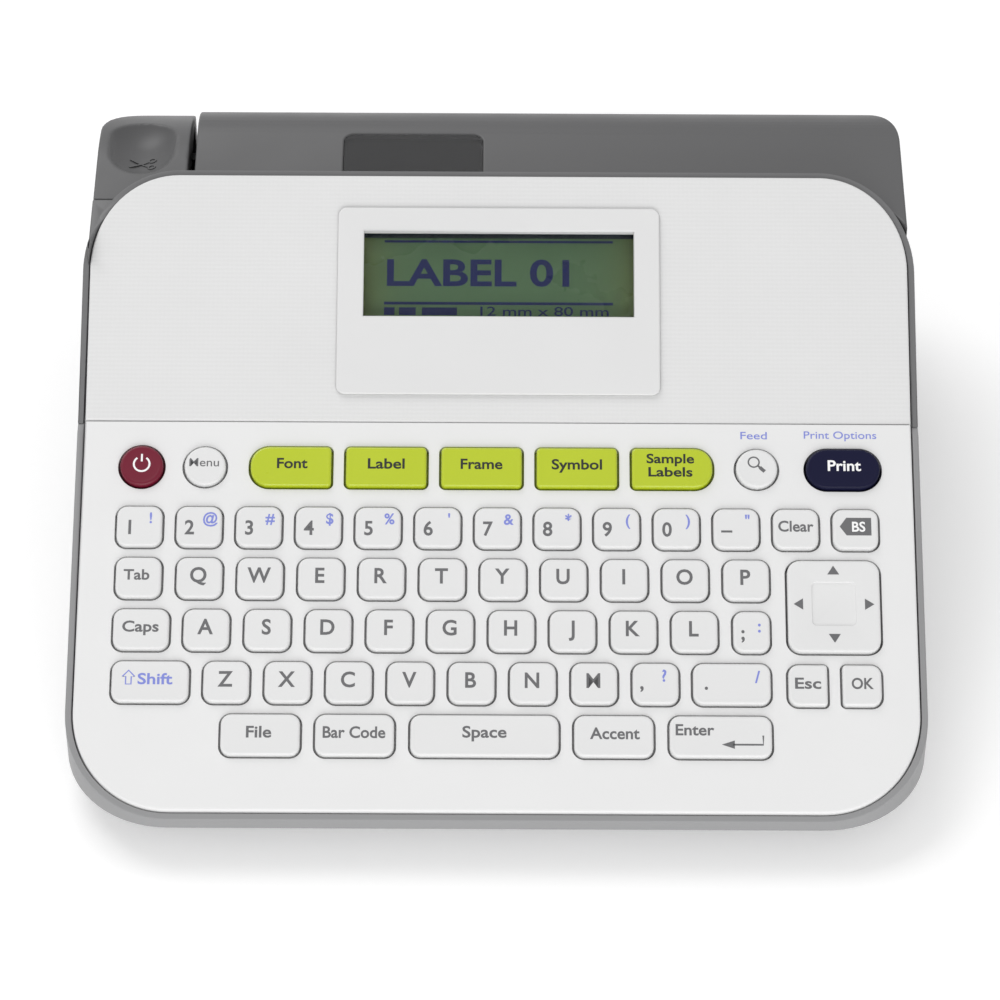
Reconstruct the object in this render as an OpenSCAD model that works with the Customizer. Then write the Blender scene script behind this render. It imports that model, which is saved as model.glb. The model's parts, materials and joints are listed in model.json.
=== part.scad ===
// Desktop label maker: a sloping keyboard deck and display panel set in a grey case, with a rear
// hatch over the tape compartment and a cutter lever at the left rear corner.
// Millimetres. +X is the user's right, -Y faces the user, +Z is up.
// The origin is on the table, under the centre of the case.

/* [Case] */
// Overall width across the grey case
body_w = 188; // [182:1:230]
// Overall depth, front to back
body_d = 178; // [174:1:215]
// Height of the white top at its front edge
front_h = 12; // [11:0.5:16]
// Slope of the keyboard deck, degrees
deck_angle = 21; // [20:0.5:23]
// Length of the keyboard deck along its slope
deck_len = 91.9; // [91:0.1:96]
// Slope of the display panel, degrees
panel_angle = 27; // [24:0.5:29]
// Length of the display panel along its slope
panel_len = 58.6; // [56:0.1:64]
// Radius of the front corners, seen from above
front_corner_r = 23; // [16:0.5:26]
// Radius of the rounded corners beside the ridge
ridge_corner_r = 21.4; // [16:0.2:24]
// How much narrower the rear section is than the case, each side
rear_step = 1.4; // [0.8:0.1:2.5]
// Radius of the right rear corner, seen from above
rear_corner_r = 20; // [14:0.5:22]
// Radius of the rounded back edge of the tape cover
back_roll_r = 18; // [12:0.5:20]
// Height of the tape cover's flat top
cover_h = 66; // [64:0.5:68]
// Thickness of the case walls
wall = 2.2; // [1.8:0.1:2.8]
// Width of the grey rim seen round the white covers
rim = 1.4; // [1:0.1:1.7]
// Gap between the white covers and the rim
seam = 0.3; // [0.2:0.05:0.5]
// Thickness of the white covers
skin = 2.2; // [1.8:0.1:2.6]
// Height of the upright grey band along the front
band_bottom = 8; // [7:0.5:9]

/* [Keys] */
// Distance of the bottom key row from the deck's front edge
first_row = 17.3; // [16:0.1:18]
// Spacing of the key rows along the deck
row_pitch = 12.17; // [11.8:0.01:12.4]
// Spacing of the number keys
number_pitch = 13.2; // [12.6:0.05:13.4]
// Spacing of the letter keys
letter_pitch = 13.38; // [12.6:0.02:13.5]
// Width of a letter key
key_w = 10.1; // [9:0.1:10.4]
// Depth of a key along the deck
key_d = 9.5; // [8.6:0.1:9.8]
// Corner radius of a key
key_r = 2.3; // [1.2:0.1:3]
// Height of a key above the deck
key_rise = 1.1; // [0.9:0.1:3]
// How far a key travels when it is pressed
key_travel = 0.8; // [0.5:0.1:1]
// Gap round each key in the deck
key_gap = 0.45; // [0.25:0.05:0.5]

/* [Display] */
// Width of the display opening
lcd_w = 61; // [50:0.5:66]
// Depth of the display opening along the panel
lcd_d = 20.2; // [16:0.2:22]
// Width of the raised display frame
bezel_w = 72.8; // [68:0.2:78]
// Depth of the raised display frame along the panel
bezel_d = 44.5; // [42:0.5:46]
// Height of the display frame above the panel
bezel_rise = 0.9; // [0.5:0.1:1.5]

/* [Tape compartment] */
// Width of the tape cassette space
cassette_w = 86; // [84:1:90]
// Height of the tape cassette space
cassette_h = 54; // [50:1:55]
// Left edge of the tape cover, beside the exit slot
cover_left = -69.9; // [-71:0.1:-68]
// Width of the tape exit slot
slot_w = 1.6; // [1.2:0.1:2.2]
// Width of the window in the tape cover
window_w = 32; // [24:1:36]
// Depth of the window in the tape cover
window_d = 15.5; // [12:0.5:16]

/* [Cutter] */
// Outer radius of the cutter lever's corner, seen from above
lever_corner_r = 15; // [10:0.5:18]
// Radius of the cutter lever's top where it bends down to the back
lever_roll_r = 39; // [36:0.5:44]
// How far the lever's left corner reaches forward of the ridge
lever_lip = 4.4; // [2:0.2:5]
// Radius of the thumb hollow in the lever
thumb_r = 9.5; // [8:0.5:11]
// Depth of the thumb hollow
thumb_depth = 3.8; // [2:0.2:4.2]
// Slope of the thumb hollow down to the back, degrees
thumb_tilt = 12; // [6:1:12]
// Radius of the lever's pivot pin
pin_r = 1.2; // [1:0.1:1.4]

/* [Drive] */
// Tooth module of the gears
gear_module = 0.8; // [0.7:0.05:0.85]
// Teeth on the motor pinion
pinion_teeth = 12; // [10:1:14]
// Teeth on the idler gear
idler_teeth = 36; // [32:1:38]
// Teeth on the platen gear
platen_teeth = 18; // [16:1:20]
// Teeth on the ribbon gear
ribbon_teeth = 24; // [20:1:26]
// Radius of the rubber platen roller
platen_r = 5; // [4:0.1:5.2]
// Radial clearance of a running shaft
run_gap = 0.05; // [0.02:0.01:0.1]

/* [Power] */
// Diameter of one AA cell
cell_d = 14.5; // [14.5:0.1:15]
// Length of one AA cell
cell_len = 50.5; // [49:0.1:51]
// Depth of a rubber foot below the case
foot_h = 1.8; // [1.2:0.1:2.4]
// Radius of a rubber foot
foot_r = 5; // [4:0.5:7]

/* [Hidden] */
$fn = 48;

// Colours
c_case = "#8c8c8c";
c_cover = "#6f6f6f";
c_white = "#ececec";
c_panel = "#e0e0e0";
c_key = "#f4f4f4";
c_lime = "#c4d235";
c_metal = "#b8bcc0";
c_dark = "#30343a";

// Outline of the case
x_side = body_w / 2;
y_front = -body_d / 2;
y_back = body_d / 2;
x_rear = x_side - rear_step;
inset_w = rim + seam;
far = 300;
eps = 0.01;

// The two sloping planes of the top
deck_y0 = y_front + rim;
crease_y = deck_y0 + deck_len * cos(deck_angle);
crease_z = front_h + deck_len * sin(deck_angle);
white_back_y = crease_y + panel_len * cos(panel_angle);
ridge_y = white_back_y + inset_w;
rim_drop = 0.5;
frame_drop = 1.15;
function deck_z(y) = front_h + (y - deck_y0) * tan(deck_angle);
function panel_z(y) = crease_z + (y - crease_y) * tan(panel_angle);
function top_z(y) = y < crease_y ? deck_z(y) : panel_z(y);

// Levels at which the case is divided
floor_z = foot_h + 2.2;
side_split_z = crease_z - 1.4;
split_gap = 0.2;
base_inset = 7;
rear_split_z = 16.4;
lever_split_z = 36;

// Tape cover and its hinge
fit_gap = 0.4;
cover_t = 2;
barrel_r = 3.2;
hinge_y = y_back - barrel_r;
hinge_z = rear_split_z + fit_gap + barrel_r;
hinge_pin_r = 1.2;
lug_w = 8;
lug_xs = [cover_left + 10, x_rear - rear_corner_r - 12];
window_x = -19.8;
window_r = 2.5;
window_back_y = y_back - back_roll_r - 0.5;

// Cutter lever
lever_right = cover_left - slot_w;
lever_top = cover_h - 0.3;
lever_low = 46;
lever_front = ridge_y + fit_gap;
lever_roll_y = y_back - 27;
pivot_y = lever_front + 5.5;
pivot_z = cover_h - 10;
lever_roof = 58;
lever_wall = 2;
thumb_x = -82.4;
thumb_len = 7.5;
thumb_y0 = y_back - 17 - thumb_len;
lug_left = -85.6;
lug_right = -80;
upstand_gap = 3.2;
upstand_top = 49;
upstand_right = lever_right - 2.6;
slot_rib_top = 47;

// Tape compartment
chassis_front = ridge_y + 1.2;
chassis_t = 2;
well_front = chassis_front + chassis_t;
well_back = y_back - 7;
well_floor = floor_z + 2.4;
tape_x = (cover_left + lever_right) / 2;
platen_x = tape_x - 0.3 - platen_r;
roller_gap = 1.6;
well_left = platen_x - platen_r - roller_gap;
well_right = cover_left - 2 + cassette_w;
well_top = well_floor + cassette_h - 4;
chassis_wall = 1.6;
roller_len = 20;
roller_y0 = well_front + roller_gap;

// Gear train, in the plane y = gear_y, ahead of the chassis wall
gear_t = 4;
gear_y = chassis_front - 0.8;
shaft_r = 1.5;
platen_z = 32;
idler_dir = -15;
pinion_dir = 10;
ribbon_dir = 62;
function pitch_r(n) = gear_module * n / 2;
function gear_place(from, dir, n1, n2) = from + (pitch_r(n1) + pitch_r(n2)) * [cos(dir), sin(dir)];
platen_at = [platen_x, platen_z];
idler_at = gear_place(platen_at, idler_dir, platen_teeth, idler_teeth);
pinion_at = gear_place(idler_at, pinion_dir, idler_teeth, pinion_teeth);
ribbon_at = gear_place(idler_at, ribbon_dir, idler_teeth, ribbon_teeth);
// Turn of a gear that puts its gaps on the teeth of the gear that drives it
function mesh_turn(a1, dir, n1, n2) = dir + 180 - (a1 - dir) * n1 / n2 - 180 / n2;
platen_turn = mesh_turn(0, idler_dir + 180, idler_teeth, platen_teeth);
pinion_turn = mesh_turn(0, pinion_dir, idler_teeth, pinion_teeth);
ribbon_turn = mesh_turn(0, ribbon_dir, idler_teeth, ribbon_teeth);
motor_r = 12;
motor_len = 30;
motor_shaft_r = 1;
motor_front = gear_y - gear_t - 2.5 - motor_len;

// Layers under the deck, measured down from its face
flange_w = 0.6;
flange_t = 0.8;
flange_top = skin + 0.2;
plunger_r = 2;
plunger_end = flange_top + flange_t + 1.6;
dome_top = plunger_end + key_travel + 0.15;
dome_base = dome_top + 1.05;
sheet_t = 0.6;
board_top = dome_base + sheet_t;
board_t = 1.6;
board_bottom = board_top + board_t;
board_x = x_side - 8;
board_v0 = 7.5;
board_v1 = deck_len - 2.5;

// Key places: centre across the deck, distance up the deck, width, depth, left and right end radius
function row_v(k) = first_row + row_pitch * k;
function_v = row_v(4) + 14.5;
function key_at(x, v, w = key_w, d = key_d, rl = key_r, rr = key_r) = [x, v, w, d, rl, rr];
round_w = 9.3;
power_at = key_at(-79.2, function_v, round_w + 0.4, round_w + 0.4, round_w / 2 + 0.2, round_w / 2 + 0.2);
menu_at = key_at(-65.1, function_v, round_w, round_w, round_w / 2, round_w / 2);
lime_w = 18;
lime_pitch = 21.2;
lime_end_r = 4.2;
font_at = key_at(-46, function_v, lime_w, key_d, lime_end_r, 1);
label_at = key_at(-46 + lime_pitch, function_v, lime_w, key_d, 1, 1);
frame_at = key_at(-46 + 2 * lime_pitch, function_v, lime_w, key_d, 1, 1);
symbol_at = key_at(-46 + 3 * lime_pitch, function_v, lime_w, key_d, 1, 1);
sample_at = key_at(-46 + 4 * lime_pitch, function_v, lime_w, key_d, 1, lime_end_r);
preview_at = key_at(57.6, function_v, round_w, round_w, round_w / 2, round_w / 2);
print_at = key_at(76.8, function_v, 16.6, key_d, key_d / 2, key_d / 2);
number_at = [for (k = [0:10]) key_at(number_pitch * (k - 6), row_v(4))];
clear_at = key_at(number_pitch * 5, row_v(4));
backspace_at = key_at(number_pitch * 6, row_v(4));
tab_at = key_at(-79, row_v(3));
upper_at = [for (k = [0:9]) key_at(-65.6 + letter_pitch * k, row_v(3))];
caps_at = key_at(-78, row_v(2), 12.3);
middle_at = concat([for (k = [0:8]) key_at(-63.7 + letter_pitch * k, row_v(2))], [key_at(55.8, row_v(2), 8.1)]);
shift_at = key_at(-75.6, row_v(1), 16.9);
lower_at = concat([for (k = [0:7]) key_at(-59 + letter_pitch * k, row_v(1))], [key_at(51.3, row_v(1), 17)]);
file_at = key_at(-51.3, row_v(0), 17.3);
barcode_at = key_at(-30.8, row_v(0), 17.2);
space_at = key_at(-2.6, row_v(0), 32.3);
accent_at = key_at(25.5, row_v(0), 17.3);
enter_at = key_at(48.7, row_v(0), 22.3);
pad_w = 20.4;
pad_d = 21.6;
pad_at = key_at(74, (row_v(2) + row_v(3)) / 2, pad_w, pad_d, 3, 3);
pad_drop = 1;
escape_at = key_at(67.9, row_v(1) - 0.2, 8.6, key_d, key_r, 0.9);
ok_at = key_at(79.7, row_v(1) - 0.2, 8.6, key_d, 0.9, key_r);
single_keys = [power_at, menu_at, font_at, label_at, frame_at, symbol_at, sample_at, preview_at, print_at,
  clear_at, backspace_at, tab_at, caps_at, shift_at, file_at, barcode_at, space_at, accent_at, enter_at,
  pad_at, escape_at, ok_at];
all_keys = concat(single_keys, number_at, upper_at, middle_at, lower_at);

// Display parts, measured up the panel from the crease
lcd_v = 34.75;
bezel_v = 28.3;
bezel_r = 2;
lens_margin = 1.6;
lens_t = 1;
lens_top = 1.6;

// Battery bay: three pairs of cells end to end across the case, in the floor
bay_w = 2 * cell_len + 4;
bay_d = 3 * cell_d + 2.5;
bay_front = crease_y - 37.2;
bay_back = bay_front + bay_d;
bay_roof = foot_h + 2.2 + cell_d + 0.6;
bay_wall = 1.2;
door_t = 1.6;
door_gap = 0.3;
door_roll = 0.8;
door_axis_y = bay_back + 1.4;
door_axis_z = foot_h + 0.1 + door_roll;

// Screws: place, level of the boss end, in the deck or in the panel
screw_r = 1.5;
boss_r = 2.7;
post_r = 4.2;
head_r = 2.8;
head_h = 2;
web_t = 2.5;
deck_boss_v = 88.2;
deck_boss_y = deck_y0 + deck_boss_v * cos(deck_angle);
front_boss_y = deck_y0 + 13.5;
panel_boss_y = crease_y + 26;
front_bosses = [[-76, front_boss_y, 10], [76, front_boss_y, 10]];
deck_bosses = [[-72, deck_boss_y, 29], [66.5, deck_boss_y, 29]];
panel_bosses = [[-83, panel_boss_y, 44], [83, panel_boss_y, 44]];
all_bosses = concat(front_bosses, deck_bosses, panel_bosses);

// Feet
feet_at = [[-76, y_front + 24], [76, y_front + 24], [-76, y_back - 18], [76, y_back - 18]];
foot_sink = 0.6;

// Inlet for the mains adapter, in the left wall
inlet_y = crease_y + 10;
inlet_z = 15;
inlet_r = 2.75;
inlet_body = [12, 9, 9];

// ---------- helpers ----------

// Rounded outline with its own radii at the front and at the back
module outline(x0, x1, y0, y1, r_front, r_back_left, r_back_right) {
  polygon([[x0 + r_front, y0], [x1 - r_front, y0], [x1, y0 + r_front], [x1, y1 - r_back_right],
    [x1 - r_back_right, y1], [x0 + r_back_left, y1], [x0, y1 - r_back_left], [x0, y0 + r_front]]);
  for (x = [x0 + r_front, x1 - r_front]) translate([x, y0 + r_front]) circle(r_front);
  translate([x0 + r_back_left, y1 - r_back_left]) circle(r_back_left);
  translate([x1 - r_back_right, y1 - r_back_right]) circle(r_back_right);
}

// Outline of the main case, drawn in by a margin
module main_outline(m = 0)
  outline(-x_side + m, x_side - m, y_front + m, ridge_y - m, front_corner_r - m, ridge_corner_r - m,
    ridge_corner_r - m);

// Outline of the rear section, drawn in by a margin
module rear_outline(m = 0)
  outline(-x_rear + m, x_rear - m, ridge_y - ridge_corner_r, y_back - m, 1, lever_corner_r - m,
    rear_corner_r - m);

// Outline of the upstand inside the cutter lever, drawn in by a margin
module upstand_outline(m = 0)
  outline(-x_rear + upstand_gap + m, x_rear, 0, y_back - upstand_gap - 2.2 - m, 1, lever_corner_r - 3 - m, 1);

// A side view drawn as [y, z] points and carried right across the case
module side_block(points, x0 = -far / 2, x1 = far / 2)
  translate([x0, 0, 0]) rotate([90, 0, 90]) linear_extrude(x1 - x0) polygon(points);

// Everything below the top face lowered by drop
module beneath_top(drop) side_block([[y_front - 5, -5], [y_front - 5, deck_z(y_front - 5) - drop],
  [crease_y, crease_z - drop], [y_back + 5, panel_z(y_back + 5) - drop], [y_back + 5, -5]]);

module tall(z0, z1) translate([0, 0, z0]) linear_extrude(z1 - z0) children();

// A box between two opposite corners
module slab(low, high) translate(low) cube(high - low);

module on_deck() translate([0, deck_y0, front_h]) rotate([deck_angle, 0, 0]) children();
module on_panel() translate([0, crease_y, crease_z]) rotate([panel_angle, 0, 0]) children();

// A cylinder along X or along Y
module rod_x(x0, x1, y, z, r) translate([x0, y, z]) rotate([0, 90, 0]) cylinder(h = x1 - x0, r = r);
module rod_y(y0, y1, x, z, r) translate([x, y0, z]) rotate([-90, 0, 0]) cylinder(h = y1 - y0, r = r);

// Tray bottom whose sides lean in towards the floor
module tucked_base(x0, x1, y0, y1, r, z0, z1, tuck) {
  for (x = [x0 + r, x1 - r], y = [y0 + r, y1 - r])
    translate([x, y, z0]) cylinder(h = z1 - z0, r1 = r - tuck, r2 = r);
  side_block([[y0 + tuck, z0], [y1 - tuck, z0], [y1, z1], [y0, z1]], x0 + r, x1 - r);
  translate([0, y1 - r, 0]) rotate([90, 0, 0]) linear_extrude(y1 - y0 - 2 * r)
    polygon([[x0 + tuck, z0], [x1 - tuck, z0], [x1, z1], [x0, z1]]);
}

// ---------- grey case ----------

// Solid body of the lower case before it is hollowed
module case_block() {
  tucked_base(-x_side, x_side, y_front, ridge_y, front_corner_r, foot_h, band_bottom, band_bottom - foot_h + 0.8);
  tucked_base(-x_rear, x_rear / 2, 0, y_back, lever_corner_r, foot_h, band_bottom, band_bottom - foot_h + 0.8);
  tucked_base(-x_rear / 2, x_rear, 0, y_back, rear_corner_r, foot_h, band_bottom, band_bottom - foot_h + 0.8);
  intersection() {
    tall(band_bottom, side_split_z) main_outline();
    beneath_top(rim_drop);
  }
  tall(band_bottom, rear_split_z) rear_outline();
  intersection() {
    tall(band_bottom, lever_split_z) rear_outline();
    slab([-far, 0, 0], [lever_right, far, far]);
  }
}

// Doorway through the ridge wall for the gears and their shafts
module gear_doorway()
  slab([platen_at[0] - pitch_r(platen_teeth) - 1.6, gear_y - gear_t - 1, floor_z],
    [pinion_at[0] + pitch_r(pinion_teeth) + 1.6, ridge_y + 0.1, ribbon_at[1] + pitch_r(ribbon_teeth) + 1.6]);

module lower_case() color(c_case) difference() {
  union() {
    difference() {
      case_block();
      tall(floor_z, band_bottom + 1) main_outline(base_inset);
      intersection() {
        tall(floor_z, band_bottom + 1) rear_outline(base_inset);
        slab([-far, ridge_y - 1, 0], [far, far, far]);
      }
      tall(band_bottom, side_split_z + 1) main_outline(wall);
      intersection() {
        tall(band_bottom, lever_split_z + 1) rear_outline(wall);
        slab([-far, ridge_y, 0], [far, far, far]);
      }
      gear_doorway();
      difference() {
        tall(0, side_split_z + 1) main_outline(rim);
        beneath_top(skin + 0.6);
      }
    }
    // upstand that the lever's skirt slides down over
    intersection() {
      difference() {
        tall(lever_split_z - 8, upstand_top) upstand_outline(0);
        tall(0, upstand_top + 1) upstand_outline(chassis_wall);
      }
      slab([-far, ridge_y + 1, 0], [upstand_right, far, far]);
    }
    intersection() {
      difference() {
        tall(lever_split_z - 8, lever_split_z) rear_outline(wall / 2);
        tall(0, upstand_top) upstand_outline(chassis_wall);
      }
      slab([-far, ridge_y + 1, 0], [upstand_right, far, far]);
    }
    // posts that carry the screws
    for (b = all_bosses) translate([b[0], b[1], foot_h]) cylinder(h = b[2] - foot_h, r = post_r);
    // walls and roof of the battery bay
    slab([-bay_w / 2 - bay_wall, bay_front - bay_wall, foot_h], [bay_w / 2 + bay_wall, bay_back + 3, bay_roof + bay_wall]);
    // rib that closes the lower part of the exit slot at the back
    slab([lever_right + 0.3, well_back + 0.3, foot_h + 1], [cover_left - 0.3, y_back - 0.4, slot_rib_top]);
    // lugs of the rear hinge
    for (x = lug_xs) {
      rod_x(x, x + lug_w, hinge_y, hinge_z, barrel_r - 0.3);
      slab([x, hinge_y - barrel_r + 0.3, band_bottom + 2], [x + lug_w, hinge_y + 0.9, hinge_z]);
      slab([x, hinge_y, band_bottom + 2], [x + lug_w, hinge_y + barrel_r - 0.7, rear_split_z]);
    }
  }
  for (b = all_bosses) {
    translate([b[0], b[1], -1]) cylinder(h = b[2] - web_t + 1, r = head_r + 0.4);
    translate([b[0], b[1], -1]) cylinder(h = far, r = screw_r + 0.15);
  }
  // battery bay and the seat of its door
  slab([-bay_w / 2, bay_front, -1], [bay_w / 2, bay_back, bay_roof]);
  slab([-bay_w / 2 - 0.8, bay_front - 0.8, -1], [bay_w / 2 + 0.8, door_axis_y + door_roll + door_gap, foot_h + door_t + 0.5]);
  for (p = feet_at) translate([p[0], p[1], -1]) cylinder(h = 1 + foot_h + foot_sink, r = foot_r + 0.05);
  for (x = lug_xs) rod_x(x - 1, x + lug_w + 1, hinge_y, hinge_z, hinge_pin_r);
  rod_x(-x_side - 1, -x_side + 10, inlet_y, inlet_z, inlet_r + 0.8);
}

// Rim round the display panel and wall behind its ridge
module rear_frame() color(c_case) difference() {
  union() {
    intersection() {
      tall(side_split_z + split_gap, 90) main_outline();
      beneath_top(frame_drop);
    }
    // filler in front of the cutter lever
    intersection() {
      tall(lever_split_z + split_gap, cover_h) rear_outline();
      union() {
        slab([-far, 0, 0], [-x_side + ridge_corner_r, lever_front - lever_lip - fit_gap, far]);
        slab([-far, 0, 0], [-x_side + ridge_corner_r, lever_front - fit_gap - 0.3, pivot_z - 0.6]);
      }
      difference() {
        slab([-far, 0, 0], [0, far, far]);
        tall(0, side_split_z + split_gap) main_outline(-split_gap);
      }
    }
  }
  intersection() {
    tall(0, 90) main_outline(wall);
    union() {
      beneath_top(skin + 0.6);
      slab([-far / 2, y_front, 0], [far / 2, crease_y, 90]);
    }
  }
  difference() {
    tall(0, 90) main_outline(rim);
    beneath_top(skin + 0.6);
  }
  gear_doorway();
}

// ---------- white covers ----------

// Rounded key shape with its own radius at each end
module key_outline(w, d, rl, rr) {
  if (w - rl - rr > eps) translate([-w / 2 + rl, -d / 2]) square([w - rl - rr, d]);
  if (rl < d / 2 - eps) translate([-w / 2, -d / 2 + rl]) square([rl + eps, d - 2 * rl]);
  if (rr < d / 2 - eps) translate([w / 2 - rr - eps, -d / 2 + rr]) square([rr + eps, d - 2 * rr]);
  for (s = [-1, 1]) {
    translate([-w / 2 + rl, s * (d / 2 - rl)]) circle(rl);
    translate([w / 2 - rr, s * (d / 2 - rr)]) circle(rr);
  }
}

module keyboard_cover() color(c_white) {
  difference() {
    union() {
      intersection() {
        tall(0, 90) main_outline(inset_w);
        on_deck() slab([-far, -far, -skin], [far, far, 0]);
        slab([-far, -far, 0], [far, crease_y - 0.06, far]);
      }
      intersection() {
        for (b = concat(front_bosses, deck_bosses))
          translate([b[0], b[1], b[2]]) cylinder(h = 60, r = boss_r);
        on_deck() slab([-far, -far, -far], [far, far, -skin + 0.2]);
      }
    }
    on_deck() for (k = all_keys) translate([k[0], k[1], -10]) linear_extrude(20)
      key_outline(k[2] + 2 * key_gap, k[3] + 2 * key_gap, k[4] + key_gap, k[5] + key_gap);
    for (b = concat(front_bosses, deck_bosses))
      translate([b[0], b[1], b[2] - 1]) cylinder(h = 6.5, r = screw_r);
  }
}

module display_cover() color(c_panel) difference() {
  union() {
    intersection() {
      tall(0, 90) main_outline(inset_w);
      on_panel() slab([-far, -far, -skin], [far, far, 0]);
      slab([-far, crease_y + 0.06, 0], [far, far, far]);
    }
    intersection() {
      for (b = panel_bosses) translate([b[0], b[1], b[2]]) cylinder(h = 60, r = boss_r);
      on_panel() slab([-far, -far, -far], [far, far, -skin + 0.2]);
    }
  }
  on_panel() translate([0, lcd_v, -10]) linear_extrude(20)
    square([lcd_w + 2 * lens_margin + 0.4, lcd_d + 2 * lens_margin + 0.4], center = true);
  for (b = panel_bosses) translate([b[0], b[1], b[2] - 1]) cylinder(h = 6.5, r = screw_r);
}

module display_bezel() color(c_white) on_panel() difference() {
  union() {
    translate([0, bezel_v, 0]) linear_extrude(bezel_rise) key_outline(bezel_w, bezel_d, bezel_r, bezel_r);
    translate([0, lcd_v, -lens_top + 0.1]) linear_extrude(lens_top)
      square([lcd_w + 2 * lens_margin, lcd_d + 2 * lens_margin], center = true);
  }
  translate([0, lcd_v, -5]) linear_extrude(10) square([lcd_w, lcd_d], center = true);
}

module display_lens() color("#5c6b58", 0.5) on_panel() translate([0, lcd_v, -lens_top - lens_t + 0.05])
  linear_extrude(lens_t) square([lcd_w + 2 * lens_margin, lcd_d + 2 * lens_margin], center = true);

module lcd_module() color("#4c584a") on_panel() {
  translate([0, lcd_v - 1.5, -7.5]) linear_extrude(4.4)
    square([lcd_w + 10, lcd_d + 11], center = true);
  translate([0, lcd_v - 1.5, -9.1]) linear_extrude(1.6)
    square([lcd_w + 14, lcd_d + 14], center = true);
}

// ---------- tape cover ----------

// Body of the tape cover, drawn in by t
module cover_block(t) intersection() {
  tall(0, cover_h - t) rear_outline(t);
  slab([cover_left + t, 0, 0], [far, far, far]);
  union() {
    slab([-far, 0, 0], [far, y_back - back_roll_r, far]);
    slab([-far, 0, 0], [far, far, cover_h - back_roll_r]);
    rod_x(-far, far, y_back - back_roll_r, cover_h - back_roll_r, back_roll_r - t);
  }
}

module cassette_cover() color(c_cover) difference() {
  union() {
    difference() {
      cover_block(0);
      cover_block(cover_t);
      tall(0, 90) main_outline(-fit_gap);
      slab([-far, 0, 0], [far, far, rear_split_z + fit_gap + 0.2]);
      // behind the hinge axis the wall stops at the barrel
      slab([-far, hinge_y, 0], [far, far, hinge_z]);
      // the wall beside the slot is low enough to pass the cutter
      slab([cover_left - 1, 0, 0], [cover_left + cover_t + 1, hinge_y - 2, cover_h - 9]);
    }
    intersection() {
      rod_x(cover_left, x_rear, hinge_y, hinge_z, barrel_r);
      tall(0, 90) rear_outline();
    }
  }
  for (x = lug_xs) {
    rod_x(x - fit_gap, x + lug_w + fit_gap, hinge_y, hinge_z, barrel_r + 0.2);
    rod_x(x - 5, x + lug_w + 5, hinge_y, hinge_z, hinge_pin_r + run_gap);
  }
  translate([window_x, window_back_y - window_d / 2, 0]) tall(cover_h - 10, cover_h + 1)
    key_outline(window_w, window_d, window_r, window_r);
}

module cover_window() color("#2b2d30", 0.6) translate([window_x, window_back_y - window_d / 2, 0]) {
  tall(cover_h - cover_t, cover_h - 0.2)
    key_outline(window_w - 0.1, window_d - 0.1, window_r, window_r);
  tall(cover_h - cover_t - 0.9, cover_h - cover_t)
    key_outline(window_w + 3, window_d - 0.1, window_r, window_r);
}

module hinge_pins() color(c_metal)
  for (x = lug_xs) rod_x(x - 4.5, x + lug_w + 4.5, hinge_y, hinge_z, hinge_pin_r);

// ---------- cutter ----------

// Solid of the cutter lever, drawn in by t
module lever_block(t) intersection() {
  tall(lever_low, lever_top - t) outline(-x_rear + t, lever_right - t, lever_front - lever_lip, y_back - t - 0.2,
    0.6, lever_corner_r - t, 1.2);
  slab([-far, 0, 0], [lever_right - t, far, far]);
  union() {
    slab([-far, 0, 0], [far, lever_roll_y, far]);
    rod_x(-far, far, lever_roll_y, lever_top - lever_roll_r, lever_roll_r - t);
  }
}

// Trough with round ends for the thumb
module thumb_hollow()
  translate([thumb_x, thumb_y0, lever_top + thumb_r - thumb_depth]) rotate([-90 - thumb_tilt, 0, 0]) rotate_extrude()
    intersection() {
      union() {
        circle(thumb_r);
        translate([0, thumb_len]) circle(thumb_r);
        translate([-thumb_r, 0]) square([2 * thumb_r, thumb_len]);
      }
      translate([0, -thumb_r - 1]) square([thumb_r + 1, thumb_len + 2 * thumb_r + 2]);
    }

module cutter_lever() color(c_cover) difference() {
  union() {
    difference() {
      lever_block(0);
      intersection() {
        lever_block(lever_wall);
        slab([-far, lever_front, 0], [far, far, lever_roof]);
      }
      tall(0, 90) main_outline(-fit_gap);
      // the wall beside the slot stops above the blade
      slab([lever_right - 4, 0, 0], [lever_right + 1, y_back - lever_wall - 4, lever_roof - 1]);
      // room to swing at the front
      slab([-far, 0, 0], [far, lever_front + 2.2, pivot_z]);
    }
    // pivot bosses and the finger that wedges the blade across
    rod_x(-x_rear + 1, -x_rear + 5, pivot_y, pivot_z, 2.4);
    rod_x(lever_right - 4, lever_right - 1, pivot_y, pivot_z, 2.4);
    translate([-82, carriage_y + 3, lever_roof - 3.4]) cylinder(h = 4.4, r = 1.2);
  }
  thumb_hollow();
  rod_x(-x_rear + 2, lever_right - 1.6, pivot_y, pivot_z, pin_r + run_gap);
  // clearance for the pivot lug and the spring beside it
  slab([lug_left - 0.8, lever_front - 0.8, 0], [spring_end + 0.6, pivot_y + 3.6, pivot_z + 3.2]);
}

module lever_pin() color(c_metal) rod_x(-x_rear + 2.2, lever_right - 1.8, pivot_y, pivot_z, pin_r);

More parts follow.
